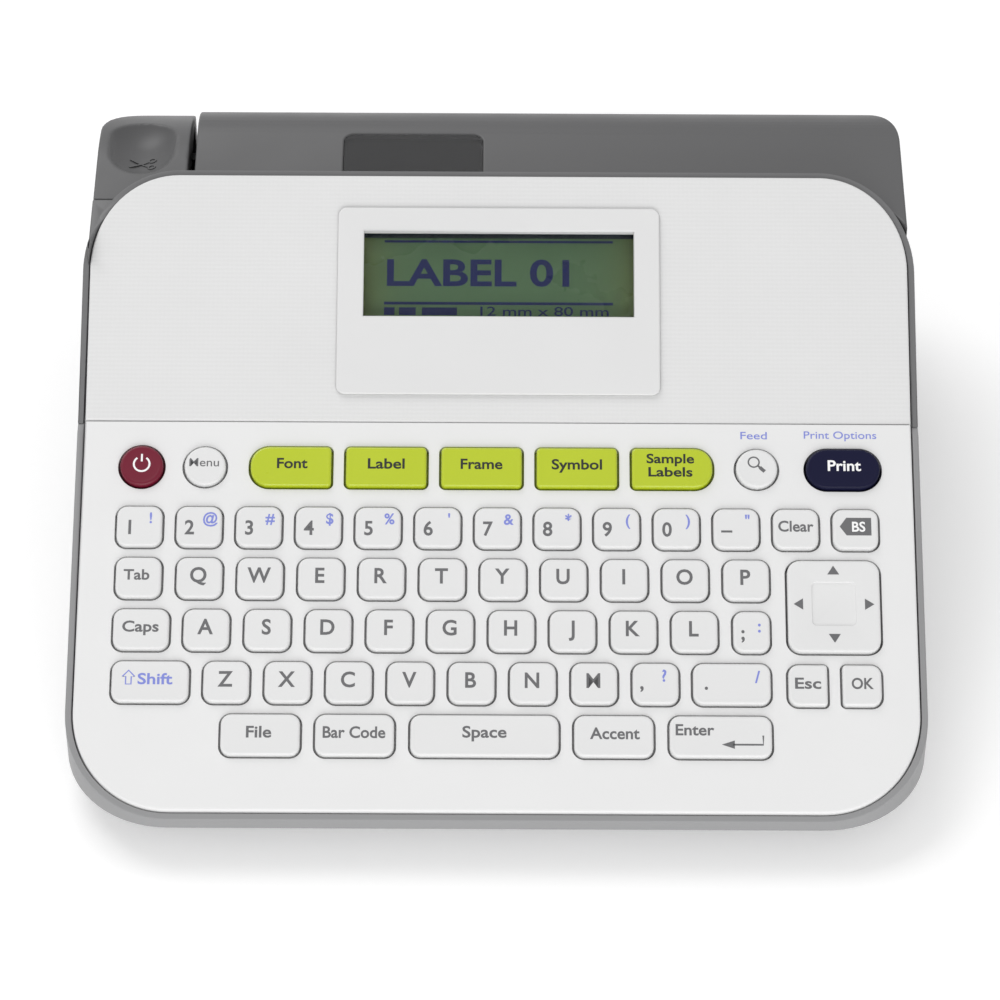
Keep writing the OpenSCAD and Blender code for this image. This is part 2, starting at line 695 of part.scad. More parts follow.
// Coil of round wire along X, as rings joined point by point
spring_r = 2.2;
wire_r = 0.3;
coil_turns = 4;
coil_pitch = 0.8;
coil_steps = 14;
coil_sides = 8;
spring_start = lug_right + 0.6;
spring_end = spring_start + coil_turns * coil_pitch;
function coil_point(i, j) = let (a = 360 * i / coil_steps, b = 360 * j / coil_sides, r = spring_r + wire_r * cos(b))
  [coil_pitch * i / coil_steps + wire_r * sin(b), r * cos(a), r * sin(a)];
module lever_spring() color(c_metal) translate([spring_start, pivot_y, pivot_z]) {
  n = coil_turns * coil_steps;
  points = [for (i = [0:n], j = [0:coil_sides - 1]) coil_point(i, j)];
  sides = [for (i = [0:n - 1], j = [0:coil_sides - 1]) let (k = (j + 1) % coil_sides)
    [i * coil_sides + j, i * coil_sides + k, (i + 1) * coil_sides + k, (i + 1) * coil_sides + j]];
  first = [for (j = [coil_sides - 1:-1:0]) j];
  last = [for (j = [0:coil_sides - 1]) n * coil_sides + j];
  polyhedron(points, concat(sides, [first, last]), convexity = 6);
}

carriage_y = pivot_y + 8;
blade_z = 51;
module blade_carriage() color(c_dark) translate([0, carriage_y + 6, 0]) rotate([90, 0, 0]) linear_extrude(6)
  polygon([[-87, 48.2], [-76.5, 48.2], [-76.5, 53.2], [-81, 53.2], [-85.4, 48.8]]);

module cutter_blade() color(c_metal) difference() {
  slab([-76.5, roller_y0, blade_z], [lever_right - 0.6, roller_y0 + roller_len, blade_z + 0.8]);
  slab([-76.5 - 1, roller_y0 - 1, blade_z - 1], [-76.5 + 1.2, carriage_y - 1.5, blade_z + 2]);
}

module fixed_blade() color(c_metal) {
  slab([cover_left, well_front, blade_z - 3], [cover_left + 0.8, roller_y0 + roller_len, blade_z - 0.1]);
  slab([cover_left + 0.8, well_front, blade_z - 3], [cover_left + 6, well_front + 0.8, blade_z - 0.1]);
}

// ---------- tape compartment ----------

module tape_chassis() color("#4a4d52") difference() {
  intersection() {
    chassis_block();
    union() {
      tall(0, band_bottom + 1.2) rear_outline(base_inset + 0.2);
      tall(band_bottom + 1.1, 90) rear_outline(wall + 2);
    }
  }
  // inside the upstand under the cutter lever
  difference() {
    slab([-far, 0, lever_split_z - 8.4], [upstand_right + 1, far, upstand_top + 0.4]);
    tall(0, 90) upstand_outline(chassis_wall + 0.3);
  }
  rod_x(lug_left - 1, lug_right + 1, pivot_y, pivot_z, pin_r);
  rod_y(0, far, platen_at[0], platen_at[1], shaft_r + run_gap);
  rod_y(0, well_front + 1, ribbon_at[0], ribbon_at[1], shaft_r + run_gap);
  // the side housing keeps clear of the rounded right rear corner
  slab([x_rear - rear_corner_r + 3, well_back - 13, 0], [far, far, far]);
}

// Walls, floor, shelf and housing of the tape chassis
module chassis_block() {
  // wall between the tape compartment and the electronics
  slab([well_left - chassis_wall, chassis_front, floor_z], [cover_left, well_front, upstand_top + 1]);
  slab([cover_left - 1, chassis_front, floor_z], [well_right + chassis_wall, well_front, well_top]);
  // floor, right wall and low left wall of the compartment
  slab([well_left - chassis_wall, chassis_front, floor_z], [well_right + chassis_wall, well_back, well_floor]);
  slab([well_right, chassis_front, floor_z], [well_right + chassis_wall, well_back, well_top - 2]);
  slab([well_left - chassis_wall, chassis_front, floor_z], [well_left, carriage_y + 8, 42]);
  // shelf under the blade carriage
  slab([-87, chassis_front, 46.2], [-74.5, carriage_y + 8, 48]);
  slab([-87, chassis_front, 42], [-74.5, well_front, 48]);
  // lug that holds the lever's pivot pin
  slab([lug_left, chassis_front, 42], [lug_right, pivot_y, pivot_z]);
  rod_x(lug_left, lug_right, pivot_y, pivot_z, 2.6);
  // closed housing beside the compartment
  difference() {
    slab([well_right + 0.5, chassis_front, floor_z], [x_rear - base_inset - 1, well_back - 2, well_top]);
    slab([well_right + chassis_wall, chassis_front - 1, floor_z + 2],
      [x_rear - base_inset - 3, well_back - 4, well_top - 2]);
  }
  // stub axle of the idler
  rod_y(gear_y - gear_t - 0.6, well_front, idler_at[0], idler_at[1], shaft_r);
}

module print_head() color("#3b3b40") {
  slab([tape_x + 0.4, roller_y0, platen_z - 10], [tape_x + 1.2, roller_y0 + roller_len, platen_z + 10]);
}

module heat_sink() color(c_metal) {
  slab([tape_x + 1.2, well_front, platen_z - 9], [tape_x + 2.8, roller_y0 + roller_len, platen_z + 9]);
  for (z = [-8:4:8])
    slab([tape_x + 2.8, well_front, platen_z + z - 0.6], [tape_x + 6.4, roller_y0 + roller_len, platen_z + z + 0.6]);
}

module platen_roller() color("#222222") difference() {
  rod_y(roller_y0, roller_y0 + roller_len, platen_at[0], platen_at[1], platen_r);
  rod_y(0, far, platen_at[0], platen_at[1], shaft_r);
}

// ---------- gears ----------

// Spur gear: straight-sided teeth set on a round web
module gear(n, turn, thick) {
  r = pitch_r(n);
  root = r - 1.15 * gear_module;
  tip = r + 0.8 * gear_module;
  a = 360 / n;
  linear_extrude(thick) union() {
    circle(root + 0.02);
    for (k = [0:n - 1]) rotate(turn + k * a) polygon([
      [(root - 0.3) * cos(0.29 * a), -(root - 0.3) * sin(0.29 * a)],
      [root * cos(0.29 * a), -root * sin(0.29 * a)],
      [r * cos(0.2 * a), -r * sin(0.2 * a)], [tip * cos(0.1 * a), -tip * sin(0.1 * a)],
      [tip * cos(0.1 * a), tip * sin(0.1 * a)], [r * cos(0.2 * a), r * sin(0.2 * a)],
      [root * cos(0.29 * a), root * sin(0.29 * a)],
      [(root - 0.3) * cos(0.29 * a), (root - 0.3) * sin(0.29 * a)]]);
  }
}

// A gear standing in the gear plane at [x, z]
module gear_at(at, n, turn, thick = gear_t)
  translate([at[0], gear_y, at[1]]) rotate([90, 0, 0]) gear(n, turn, thick);

module platen_gear() color("#e8e4d8") {
  gear_at(platen_at, platen_teeth, platen_turn);
  rod_y(gear_y - 0.1, roller_y0 + roller_len + 2, platen_at[0], platen_at[1], shaft_r);
}

module idler_gear() color("#e8e4d8") difference() {
  gear_at(idler_at, idler_teeth, 0);
  rod_y(0, far, idler_at[0], idler_at[1], shaft_r + run_gap);
}

module ribbon_spindle() color("#e8e4d8") {
  gear_at(ribbon_at, ribbon_teeth, ribbon_turn);
  rod_y(gear_y - 0.1, well_front + 0.3, ribbon_at[0], ribbon_at[1], shaft_r);
  rod_y(well_front + 0.3, well_front + 10, ribbon_at[0], ribbon_at[1], 2.2);
  for (a = [0:60:300]) translate([ribbon_at[0], well_front + 0.3, ribbon_at[1]]) rotate([-90, 0, 0])
    rotate(a) translate([1.8, -0.4, 0]) cube([1.2, 0.8, 8.5]);
}

module motor_pinion() color("#d8b45a") {
  gear_at(pinion_at, pinion_teeth, pinion_turn);
  rod_y(motor_front + 6, gear_y - 0.1, pinion_at[0], pinion_at[1], motor_shaft_r);
}

module drive_motor() color(c_metal) difference() {
  union() {
    rod_y(motor_front, motor_front + motor_len, pinion_at[0], pinion_at[1], motor_r);
    rod_y(motor_front + motor_len, motor_front + motor_len + 1.2, pinion_at[0], pinion_at[1], 3);
  }
  rod_y(motor_front + 5.5, far, pinion_at[0], pinion_at[1], motor_shaft_r + run_gap);
}

// ---------- electronics ----------

main_board_z = 26;
module main_board() color("#2f6b43") {
  slab([-14, crease_y + 6, main_board_z], [74, ridge_y - wall - 4, main_board_z + 1.6]);
  // processor, capacitors and connectors
  slab([10, crease_y + 16, main_board_z + 1.6], [26, crease_y + 32, main_board_z + 3.2]);
  slab([-6, crease_y + 12, main_board_z + 1.6], [2, crease_y + 34, main_board_z + 6]);
  slab([38, crease_y + 10, main_board_z + 1.6], [60, crease_y + 15, main_board_z + 8]);
  for (x = [40, 50]) translate([x, crease_y + 28, main_board_z + 1.6]) cylinder(h = 9, r = 3.6);
}

module key_board() color("#2f6b43") difference() {
  intersection() {
    on_deck() slab([-board_x, board_v0, -board_bottom], [board_x, board_v1, -board_top]);
    tall(0, 90) main_outline(base_inset + 0.6);
  }
  for (b = all_bosses) translate([b[0], b[1], 0]) cylinder(h = far, r = post_r + 0.6);
}

module dome_sheet() color("#9aa0a6") {
  difference() {
    intersection() {
      on_deck() slab([-board_x + 0.5, board_v0 + 0.5, -board_top], [board_x - 0.5, board_v1 - 0.5, -dome_base]);
      tall(0, 90) main_outline(base_inset + 1.1);
    }
    for (b = all_bosses) translate([b[0], b[1], 0]) cylinder(h = far, r = post_r + 1);
  }
  on_deck() for (k = all_keys) translate([k[0], k[1], -dome_base])
    cylinder(h = dome_base - dome_top, r1 = 3, r2 = 2.2);
}

// ---------- power ----------

module battery_door() difference() {
  union() {
    slab([-bay_w / 2 - 0.5, bay_front - 0.5, foot_h + 0.1], [bay_w / 2 + 0.5, door_axis_y, foot_h + 0.1 + door_t]);
    rod_x(-bay_w / 2 - 0.5, bay_w / 2 + 0.5, door_axis_y, door_axis_z, door_roll);
  }
  // finger grip
  for (k = [0:4]) slab([-9, bay_front + 3 + 2 * k, 0], [9, bay_front + 3.8 + 2 * k, foot_h + 0.5]);
}
module battery_cover() color(c_case) battery_door();

// Sprung contacts at both ends of the bay, one for each cell end
module battery_contacts() color(c_metal) {
  for (s = [-1, 1], k = [0:2]) {
    y = bay_front + 1.25 + cell_d * (k + 0.5);
    slab([s > 0 ? bay_w / 2 - 0.4 : -bay_w / 2, y - 5.5, foot_h + 5],
      [s > 0 ? bay_w / 2 : -bay_w / 2 + 0.4, y + 5.5, foot_h + 15]);
  }
}

module inlet_jack() color(c_dark) {
  difference() {
    union() {
      translate([-x_side + wall + 0.02 + inlet_body[0] / 2, inlet_y, inlet_z]) cube(inlet_body, center = true);
      rod_x(-x_side + 0.4, -x_side + wall + 1, inlet_y, inlet_z, inlet_r + 0.75);
    }
    rod_x(-x_side - 1, -x_side + 11, inlet_y, inlet_z, inlet_r);
  }
  rod_x(-x_side + 2, -x_side + 12, inlet_y, inlet_z, 0.85);
}

module rubber_feet() color("#2a2a2a")
  for (p = feet_at) translate([p[0], p[1], 0]) cylinder(h = foot_h + foot_sink, r = foot_r);

module case_screws() color(c_metal) for (b = all_bosses) translate([b[0], b[1], b[2] - web_t]) {
  translate([0, 0, -head_h]) difference() {
    cylinder(h = head_h, r = head_r);
    for (a = [0, 90]) rotate(a) translate([-1.6, -0.35, -1]) cube([3.2, 0.7, 2]);
  }
  cylinder(h = web_t + 5, r = screw_r);
}

// ---------- keys ----------

// One key: stepped cap, flange that keeps it in the deck, and plunger
module key(k, drop = 0) on_deck() translate([k[0], k[1], 0]) {
  translate([0, 0, key_rise - 0.5]) linear_extrude(0.5)
    key_outline(k[2] - 0.6, k[3] - 0.6, max(k[4] - 0.3, 0.3), max(k[5] - 0.3, 0.3));
  translate([0, 0, -flange_top - drop]) linear_extrude(key_rise - 0.5 + flange_top + drop)
    key_outline(k[2], k[3], k[4], k[5]);
  translate([0, 0, -flange_top - flange_t - drop]) linear_extrude(flange_t)
    key_outline(k[2] + 2 * flange_w, k[3] + 2 * flange_w, k[4] + flange_w, k[5] + flange_w);
  translate([0, 0, -plunger_end]) cylinder(h = plunger_end - flange_top - drop, r = plunger_r);
}

module keys(list, tint) color(tint) for (k = list) key(k);

module cursor_pad() color(c_key) difference() {
  key(pad_at, pad_drop);
  on_deck() translate([pad_at[0], pad_at[1], key_rise - 0.4]) linear_extrude(2)
    key_outline(11, 11.6, 1, 1);
}

// ---------- assembly ----------

lower_case();
rear_frame();
keyboard_cover();
display_cover();
display_bezel();
display_lens();
lcd_module();
cassette_cover();
cover_window();
hinge_pins();
cutter_lever();
lever_pin();
lever_spring();
blade_carriage();
cutter_blade();
fixed_blade();
tape_chassis();
print_head();
heat_sink();
platen_roller();
platen_gear();
idler_gear();
ribbon_spindle();
motor_pinion();
drive_motor();
main_board();
key_board();
dome_sheet();
battery_cover();
battery_contacts();
inlet_jack();
rubber_feet();
case_screws();
keys([power_at], "#7a2038");  // power_key
keys([menu_at], c_key);  // menu_key
keys([font_at], c_lime);  // font_key
keys([label_at], c_lime);  // label_key
keys([frame_at], c_lime);  // frame_key
keys([symbol_at], c_lime);  // symbol_key
keys([sample_at], c_lime);  // sample_key
keys([preview_at], c_key);  // preview_key
keys([print_at], "#202538");  // print_key
keys([clear_at], c_key);  // clear_key
keys([backspace_at], c_key);  // backspace_key
keys([tab_at], c_key);  // tab_key
keys([caps_at], c_key);  // caps_key
keys([shift_at], c_key);  // shift_key
keys([file_at], c_key);  // file_key
keys([barcode_at], c_key);  // barcode_key
keys([space_at], c_key);  // space_key
keys([accent_at], c_key);  // accent_key
keys([enter_at], c_key);  // enter_key
cursor_pad();
keys([escape_at], c_key);  // escape_key
keys([ok_at], c_key);  // ok_key
keys(number_at, c_key);  // number_keys
keys(upper_at, c_key);  // upper_letter_keys
keys(middle_at, c_key);  // middle_letter_keys
keys(lower_at, c_key);  // lower_letter_keys
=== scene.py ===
"""Desktop label maker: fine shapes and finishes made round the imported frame. Metres."""
import json
import math

import bmesh
import bpy
from mathutils import Matrix, Vector
from mathutils.bvhtree import BVHTree


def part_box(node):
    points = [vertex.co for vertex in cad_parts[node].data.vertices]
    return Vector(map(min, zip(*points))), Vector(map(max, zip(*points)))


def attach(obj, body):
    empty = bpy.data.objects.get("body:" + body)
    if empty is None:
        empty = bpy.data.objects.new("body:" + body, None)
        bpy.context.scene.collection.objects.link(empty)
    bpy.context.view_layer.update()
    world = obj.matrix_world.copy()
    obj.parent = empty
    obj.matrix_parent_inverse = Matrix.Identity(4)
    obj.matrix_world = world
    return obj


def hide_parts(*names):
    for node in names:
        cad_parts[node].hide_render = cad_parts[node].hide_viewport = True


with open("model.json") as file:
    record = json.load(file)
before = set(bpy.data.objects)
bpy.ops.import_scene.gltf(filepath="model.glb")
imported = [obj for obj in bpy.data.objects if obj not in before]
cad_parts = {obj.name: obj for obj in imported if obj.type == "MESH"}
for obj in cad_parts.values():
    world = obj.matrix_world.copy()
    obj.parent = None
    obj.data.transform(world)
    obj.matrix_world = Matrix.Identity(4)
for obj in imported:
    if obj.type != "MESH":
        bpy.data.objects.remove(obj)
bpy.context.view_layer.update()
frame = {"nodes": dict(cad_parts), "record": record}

NODES = frame["nodes"]
RECORD = frame["record"]
BODY_OF = {node: body for body, members in RECORD["behaviour"]["bodies"].items()
           for node in members}
SLOT_OF = {row["node"]: row["material_slot"] for row in RECORD["subparts"]}
MM = 0.001
WELD = 0.0005 * MM
FACE_BAND = 0.05 * MM
DECK_SLOPE = math.radians(21)
PANEL_SLOPE = math.radians(27)


# ---------- places read from the frame ----------

def slope_axes(node, slope):
    """Axes of a sloping cover in millimetres: across, up the slope, out of it.

    They start at the front edge of its face.
    """
    turn = Matrix.Rotation(slope, 4, "X")
    points = [turn.inverted() @ vertex.co for vertex in NODES[node].data.vertices]
    face = max(point.z for point in points)
    front = min(point.y for point in points if point.z > face - FACE_BAND)
    return turn @ Matrix.Translation((0, front, face)) @ Matrix.Scale(MM, 4)


DECK = slope_axes("keyboard_cover", DECK_SLOPE)
PANEL = slope_axes("display_cover", PANEL_SLOPE)


def extent(points):
    """Lowest and highest corner of some points."""
    low = Vector(min(point[axis] for point in points) for axis in range(3))
    high = Vector(max(point[axis] for point in points) for axis in range(3))
    return low, high


def extent_on(node, axes):
    """Lowest and highest corner of a node, in the axes of a sloping cover."""
    turn_in = axes.inverted()
    return extent([turn_in @ vertex.co for vertex in NODES[node].data.vertices])


def solids_of(node):
    """Points of each separate solid of a node, from left to right."""
    bm = bmesh.new()
    bm.from_mesh(NODES[node].data)
    bmesh.ops.remove_doubles(bm, verts=bm.verts, dist=WELD)
    left, solids = set(bm.verts), []
    while left:
        ahead = [left.pop()]
        found = []
        while ahead:
            vertex = ahead.pop()
            found.append(vertex.co.copy())
            for edge in vertex.link_edges:
                other = edge.other_vert(vertex)
                if other in left:
                    left.discard(other)
                    ahead.append(other)
        solids.append(found)
    bm.free()
    return sorted(solids, key=lambda points: sum(point.x for point in points) / len(points))


# ---------- mesh making ----------

FLAT = math.radians(0.6)
CREASE = math.radians(28)
SMOOTH = math.radians(34)


def new_piece(name, mesh, body, finishes):
    """An object of the mesh that rides on a body and its materials."""
    piece = bpy.data.objects.new(name, mesh)
    bpy.context.scene.collection.objects.link(piece)
    if len(mesh.materials):
        mesh.materials.clear()
    for finish in finishes:
        mesh.materials.append(finish)
    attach(piece, body)
    return piece


def finished_mesh(name, bm, axes=None):
    """The mesh of a bmesh, its normals outward and smooth over every soft edge."""
    bmesh.ops.recalc_face_normals(bm, faces=bm.faces)
    if axes is not None:
        bm.transform(axes)
    mesh = bpy.data.meshes.new(name)
    bm.to_mesh(mesh)
    bm.free()
    mesh.shade_smooth()
    mesh.set_sharp_from_angle(angle=SMOOTH)
    return mesh


def softened(node, radius, finish, share=None, segments=3):
    """The moulded shell of a node with its outer edges rounded.

    share gives the part of the radius that an edge gets, from the place of its middle.
    """
    bm = bmesh.new()
    bm.from_mesh(NODES[node].data)
    bmesh.ops.remove_doubles(bm, verts=bm.verts, dist=WELD)
    bmesh.ops.dissolve_limit(bm, angle_limit=FLAT, verts=bm.verts, edges=bm.edges)
    weight = bm.edges.layers.float.new("bevel_weight_edge")
    for edge in bm.edges:
        if len(edge.link_faces) == 2 and edge.is_convex and edge.calc_face_angle() > CREASE:
            middle = (edge.verts[0].co + edge.verts[1].co) / 2
            edge[weight] = 1.0 if share is None else share(middle)
    mesh = bpy.data.meshes.new(node + "_shell")
    bm.to_mesh(mesh)
    bm.free()
    mesh.shade_smooth()
    mesh.set_sharp_from_angle(angle=SMOOTH)
    piece = new_piece(node + "_shell", mesh, BODY_OF[node], [finish])
    bevel = piece.modifiers.new("rounded_edges", "BEVEL")
    bevel.width = radius
    bevel.segments = segments
    bevel.limit_method = "WEIGHT"
    bevel.use_clamp_overlap = False
    bevel.loop_slide = False
    bevel.harden_normals = True
    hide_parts(node)
    return piece


def loft(bm, rings, slot=0):
    """A closed skin through rings of equally many points."""
    loops = [[bm.verts.new(point) for point in ring] for ring in rings]
    for low, high in zip(loops, loops[1:]):
        for index, start in enumerate(low):
            after = (index + 1) % len(low)
            bm.faces.new((start, low[after], high[after], high[index])).material_index = slot
    bm.faces.new(loops[0][::-1]).material_index = slot
    bm.faces.new(loops[-1]).material_index = slot


def ribbon(bm, points, width, low, high, slot=1, closed=False):
    """A flat printed or raised line of even width through the points."""
    last = len(points) - 1
    rows = []
    for index, point in enumerate(points):
        before = points[index - 1] if closed or index else point
        after = points[(index + 1) % len(points)] if closed or index < last else point
        along = (Vector(after) - Vector(before)).normalized()
        side = Vector((-along.y, along.x)) * width / 2
        here = Vector(point)
        left, right = here - side, here + side
        corners = ((left, low), (right, low), (right, high), (left, high))
        rows.append([bm.verts.new((place.x, place.y, level)) for place, level in corners])
    for index in range(len(points) if closed else last):
        row, following = rows[index], rows[(index + 1) % len(points)]
        for corner in range(4):
            after = (corner + 1) % 4
            wall = (row[corner], following[corner], following[after], row[after])
            bm.faces.new(wall).material_index = slot
    if not closed:
        for end in (rows[0], rows[-1]):
            bm.faces.new(end).material_index = slot


def patch(bm, points, low, high, slot=1):
    """A flat printed or raised shape with the given outline."""
    loft(bm, [[(x, y, low) for x, y in points], [(x, y, high) for x, y in points]], slot)


def arc(x, y, radius, start, end, count):
    """Points round part of a circle, angles in degrees."""
    step = (end - start) / (count - 1)
    angles = [math.radians(start + step * k) for k in range(count)]
    return [(x + radius * math.cos(a), y + radius * math.sin(a)) for a in angles]


# ---------- lettering ----------

INK_LIFT = 0.025
INK_SINK = 0.25
TAG_LIFT = 0.008
LETTER_WEIGHT = 0.02
THIN_LETTER_WEIGHT = 0.003
LETTER_NARROWING = 0.94
GLYPH_THICKNESS = 0.05
GLYPH_CURVE_STEPS = 4


def glyphs(words, weight=LETTER_WEIGHT):
    """Letters as a solid mesh one unit in type size."""
    curve = bpy.data.curves.new("lettering", "FONT")
    curve.body = words
    curve.resolution_u = GLYPH_CURVE_STEPS
    curve.extrude = GLYPH_THICKNESS
    curve.offset = weight
    holder = bpy.data.objects.new("lettering", curve)
    bpy.context.scene.collection.objects.link(holder)
    bpy.context.view_layer.update()
    shaped = holder.evaluated_get(bpy.context.evaluated_depsgraph_get())
    mesh = bpy.data.meshes.new_from_object(shaped)
    bpy.data.objects.remove(holder)
    bpy.data.curves.remove(curve)
    return mesh


CAPITAL = max(vertex.co.y for vertex in glyphs("H").vertices)


def letters(bm, words, tall, x, v, level, slot=1, wide=None, weight=LETTER_WEIGHT):
    """Printed words centred on x, the middle of their capitals at v, just above level.

    They are as wide as wide says, or as their type size makes them. Words with a capital M
    stay thin, because its strokes run together when thickened.
    """
    mesh = glyphs(words, THIN_LETTER_WEIGHT if "M" in words else weight)
    low, high = extent([vertex.co for vertex in mesh.vertices])
    size = tall / CAPITAL
    stretch = wide / (high.x - low.x) if wide else size * LETTER_NARROWING
    made = []
    for vertex in mesh.vertices:
        across = x + (vertex.co.x - (low.x + high.x) / 2) * stretch
        lift = INK_LIFT if vertex.co.z > 0 else -INK_SINK
        made.append(bm.verts.new((across, v - tall / 2 + vertex.co.y * size, level + lift)))
    for polygon in mesh.polygons:
        corners = [made[index] for index in polygon.vertices]
        if len(set(corners)) > 2 and bm.faces.get(corners) is None:
            bm.faces.new(corners).material_index = slot
    bpy.data.meshes.remove(mesh)


def say(words, tall, dx=0.0, dv=0.6, slot=1, wide=None):
    """A printed word on a key, offset from the key's middle."""
    def draw(bm, x, v, top):
        letters(bm, words, tall, x + dx, v + dv, top, slot, wide)
    return draw


def line(points, width, slot=1, closed=False):
    """A printed line on a key."""
    def draw(bm, x, v, top):
        moved = [(x + px, v + pv) for px, pv in points]
        ribbon(bm, moved, width, top - INK_SINK, top + INK_LIFT, slot, closed)
    return draw


def shape(points, slot=1, lift=INK_LIFT):
    """A printed solid shape on a key."""
    def draw(bm, x, v, top):
        moved = [(x + px, v + pv) for px, pv in points]
        patch(bm, moved, top - INK_SINK, top + lift, slot)
    return draw


# ---------- shared surface effects ----------

def new_group(name, inputs, outputs):
    """An empty shader group with named inputs (type, default) and outputs (type)."""
    group = bpy.data.node_groups.new(name, "ShaderNodeTree")
    for label, (kind, value) in inputs.items():
        socket = group.interface.new_socket(
            label, in_out="INPUT", socket_type="NodeSocket" + kind)
        socket.default_value = value
    for label, kind in outputs.items():
        group.interface.new_socket(label, in_out="OUTPUT", socket_type="NodeSocket" + kind)
    given = group.nodes.new("NodeGroupInput").outputs
    made = group.nodes.new("NodeGroupOutput").inputs
    return group, given, made


def put(tree, kind, inputs=None, **settings):
    """A node with its settings made and its inputs filled with values or linked to sockets."""
    node = tree.nodes.new("ShaderNode" + kind)
    for setting, value in settings.items():
        setattr(node, setting, value)
    for label, value in (inputs or {}).items():
        if isinstance(value, bpy.types.NodeSocket):
            tree.links.new(value, node.inputs[label])
        else:
            node.inputs[label].default_value = value
    return node


def math_node(tree, operation, first, second=0.0):
    """Result of one sum on values or sockets."""
    return put(tree, "Math", {0: first, 1: second}, operation=operation).outputs[0]


def mixed(tree, factor, first, second):
    """A colour between two others."""
    node = put(tree, "Mix", {0: factor, 6: first, 7: second}, data_type="RGBA")
    return node.outputs[2]


def noise(tree, scale, detail, rough=0.5):
    """Cloudy values through the piece."""
    place = put(tree, "TexCoord").outputs["Object"]
    values = {"Vector": place, "Scale": scale, "Detail": detail, "Roughness": rough}
    return put(tree, "TexNoise", values).outputs[0]


def scaled(tree, value, factor, offset=0.0):
    """A value times a factor, plus an offset."""
    return math_node(tree, "ADD", math_node(tree, "MULTIPLY", value, factor), offset)


def lit(tree, colour, light):
    """A colour made lighter or darker by a factor."""
    return put(tree, "VectorMath", {0: colour, "Scale": light}, operation="SCALE").outputs[0]


def make_moulded_skin():
    """Fine spark-eroded grain of a moulding: a faint mottle in the colour and a bumpy height."""
    group, given, made = new_group(
        "moulded_skin",
        {"Colour": ("Color", (1, 1, 1, 1)), "Mottle": ("Float", 0.04), "Grain": ("Float", 4000.0),
         "Depth": ("Float", 1.0), "Gloss": ("Float", 0.5)},
        {"Colour": "Color", "Roughness": "Float", "Height": "Float"})
    cloud_scale, cloud_share, gloss_change = 55.0, 0.6, 0.25
    cloud = noise(group, cloud_scale, 4.0)
    speck = noise(group, given["Grain"], 3.0, 0.6)
    share = math_node(group, "ADD", math_node(group, "MULTIPLY", cloud, cloud_share),
                      math_node(group, "MULTIPLY", speck, 1 - cloud_share))
    shade = math_node(group, "MULTIPLY", math_node(group, "SUBTRACT", share, 0.5), given["Mottle"])
    group.links.new(lit(group, given["Colour"], scaled(group, shade, 4.0, 1.0)), made["Colour"])
    change = math_node(group, "MULTIPLY", math_node(group, "SUBTRACT", cloud, 0.5), gloss_change)
    group.links.new(math_node(group, "ADD", given["Gloss"], change), made["Roughness"])
    group.links.new(math_node(group, "MULTIPLY", speck, given["Depth"]), made["Height"])
    return group


def make_fine_ruling():
    """Close ruled lines across the display panel, with fainter ones up it."""
    group, given, made = new_group(
        "fine_ruling",
        {"Pitch": ("Float", 1.0), "Strength": ("Float", 0.02),
         "Colour": ("Color", (1, 1, 1, 1))},
        {"Colour": "Color", "Height": "Float"})
    place = put(group, "SeparateXYZ", {0: put(group, "TexCoord").outputs["Object"]})
    turns = math_node(group, "DIVIDE", 2 * math.pi / MM, given["Pitch"])
    up = math_node(group, "MULTIPLY", place.outputs["Y"], 1 / math.cos(PANEL_SLOPE))
    across = math_node(group, "SINE", math_node(group, "MULTIPLY", up, turns))
    along = math_node(group, "SINE", math_node(group, "MULTIPLY", place.outputs["X"], turns))
    faint_share = 0.35
    height = math_node(group, "ADD", across, math_node(group, "MULTIPLY", along, faint_share))
    light = scaled(group, height, given["Strength"], 1.0)
    group.links.new(lit(group, given["Colour"], light), made["Colour"])
    group.links.new(height, made["Height"])
    return group


def make_brushing():
    """Fine scratches along one way on metal: a change of gloss and of colour."""
    group, given, made = new_group(
        "brushing",
        {"Colour": ("Color", (1, 1, 1, 1)), "Stretch": ("Vector", (200.0, 9000.0, 9000.0)),
         "Gloss": ("Float", 0.3)},
        {"Colour": "Color", "Roughness": "Float", "Height": "Float"})
    place = put(group, "TexCoord").outputs["Object"]
    drawn = put(group, "VectorMath", {0: place, 1: given["Stretch"]}, operation="MULTIPLY")
    values = {"Vector": drawn.outputs[0], "Scale": 1.0, "Detail": 3.0}
    streak = put(group, "TexNoise", values).outputs[0]
    light = scaled(group, streak, 0.16, 0.92)
    group.links.new(lit(group, given["Colour"], light), made["Colour"])
    group.links.new(scaled(group, streak, 0.2, given["Gloss"]), made["Roughness"])
    group.links.new(streak, made["Height"])
    return group


def make_handling_marks():
    """Faint smears of fingers on smooth plastic and glass: a change of gloss."""
    group, given, made = new_group(
        "handling_marks", {"Gloss": ("Float", 0.1), "Marks": ("Float", 0.1)},
        {"Roughness": "Float"})
    smear = math_node(group, "POWER", noise(group, 120.0, 5.0, 0.65), 3.0)
    group.links.new(scaled(group, smear, given["Marks"], given["Gloss"]), made["Roughness"])
    return group


MOULDED_SKIN = make_moulded_skin()
FINE_RULING = make_fine_ruling()
BRUSHING = make_brushing()
HANDLING_MARKS = make_handling_marks()


# ---------- materials ----------

def paint(red, green, blue):
    """Linear colour of an everyday 0 to 255 one."""
    def linear(value):
        share = value / 255
        return share / 12.92 if share <= 0.04045 else ((share + 0.055) / 1.055) ** 2.4
    return (linear(red), linear(green), linear(blue), 1.0)


def new_finish(name):
    """A material with nothing but its shader, and the shader."""
    finish = bpy.data.materials.new(name)
    finish.use_nodes = True
    return finish, finish.node_tree, finish.node_tree.nodes["Principled BSDF"]


def use_group(tree, group, values):
    """A shared effect placed in a material with its own values."""
    return put(tree, "Group", values, node_tree=group).outputs


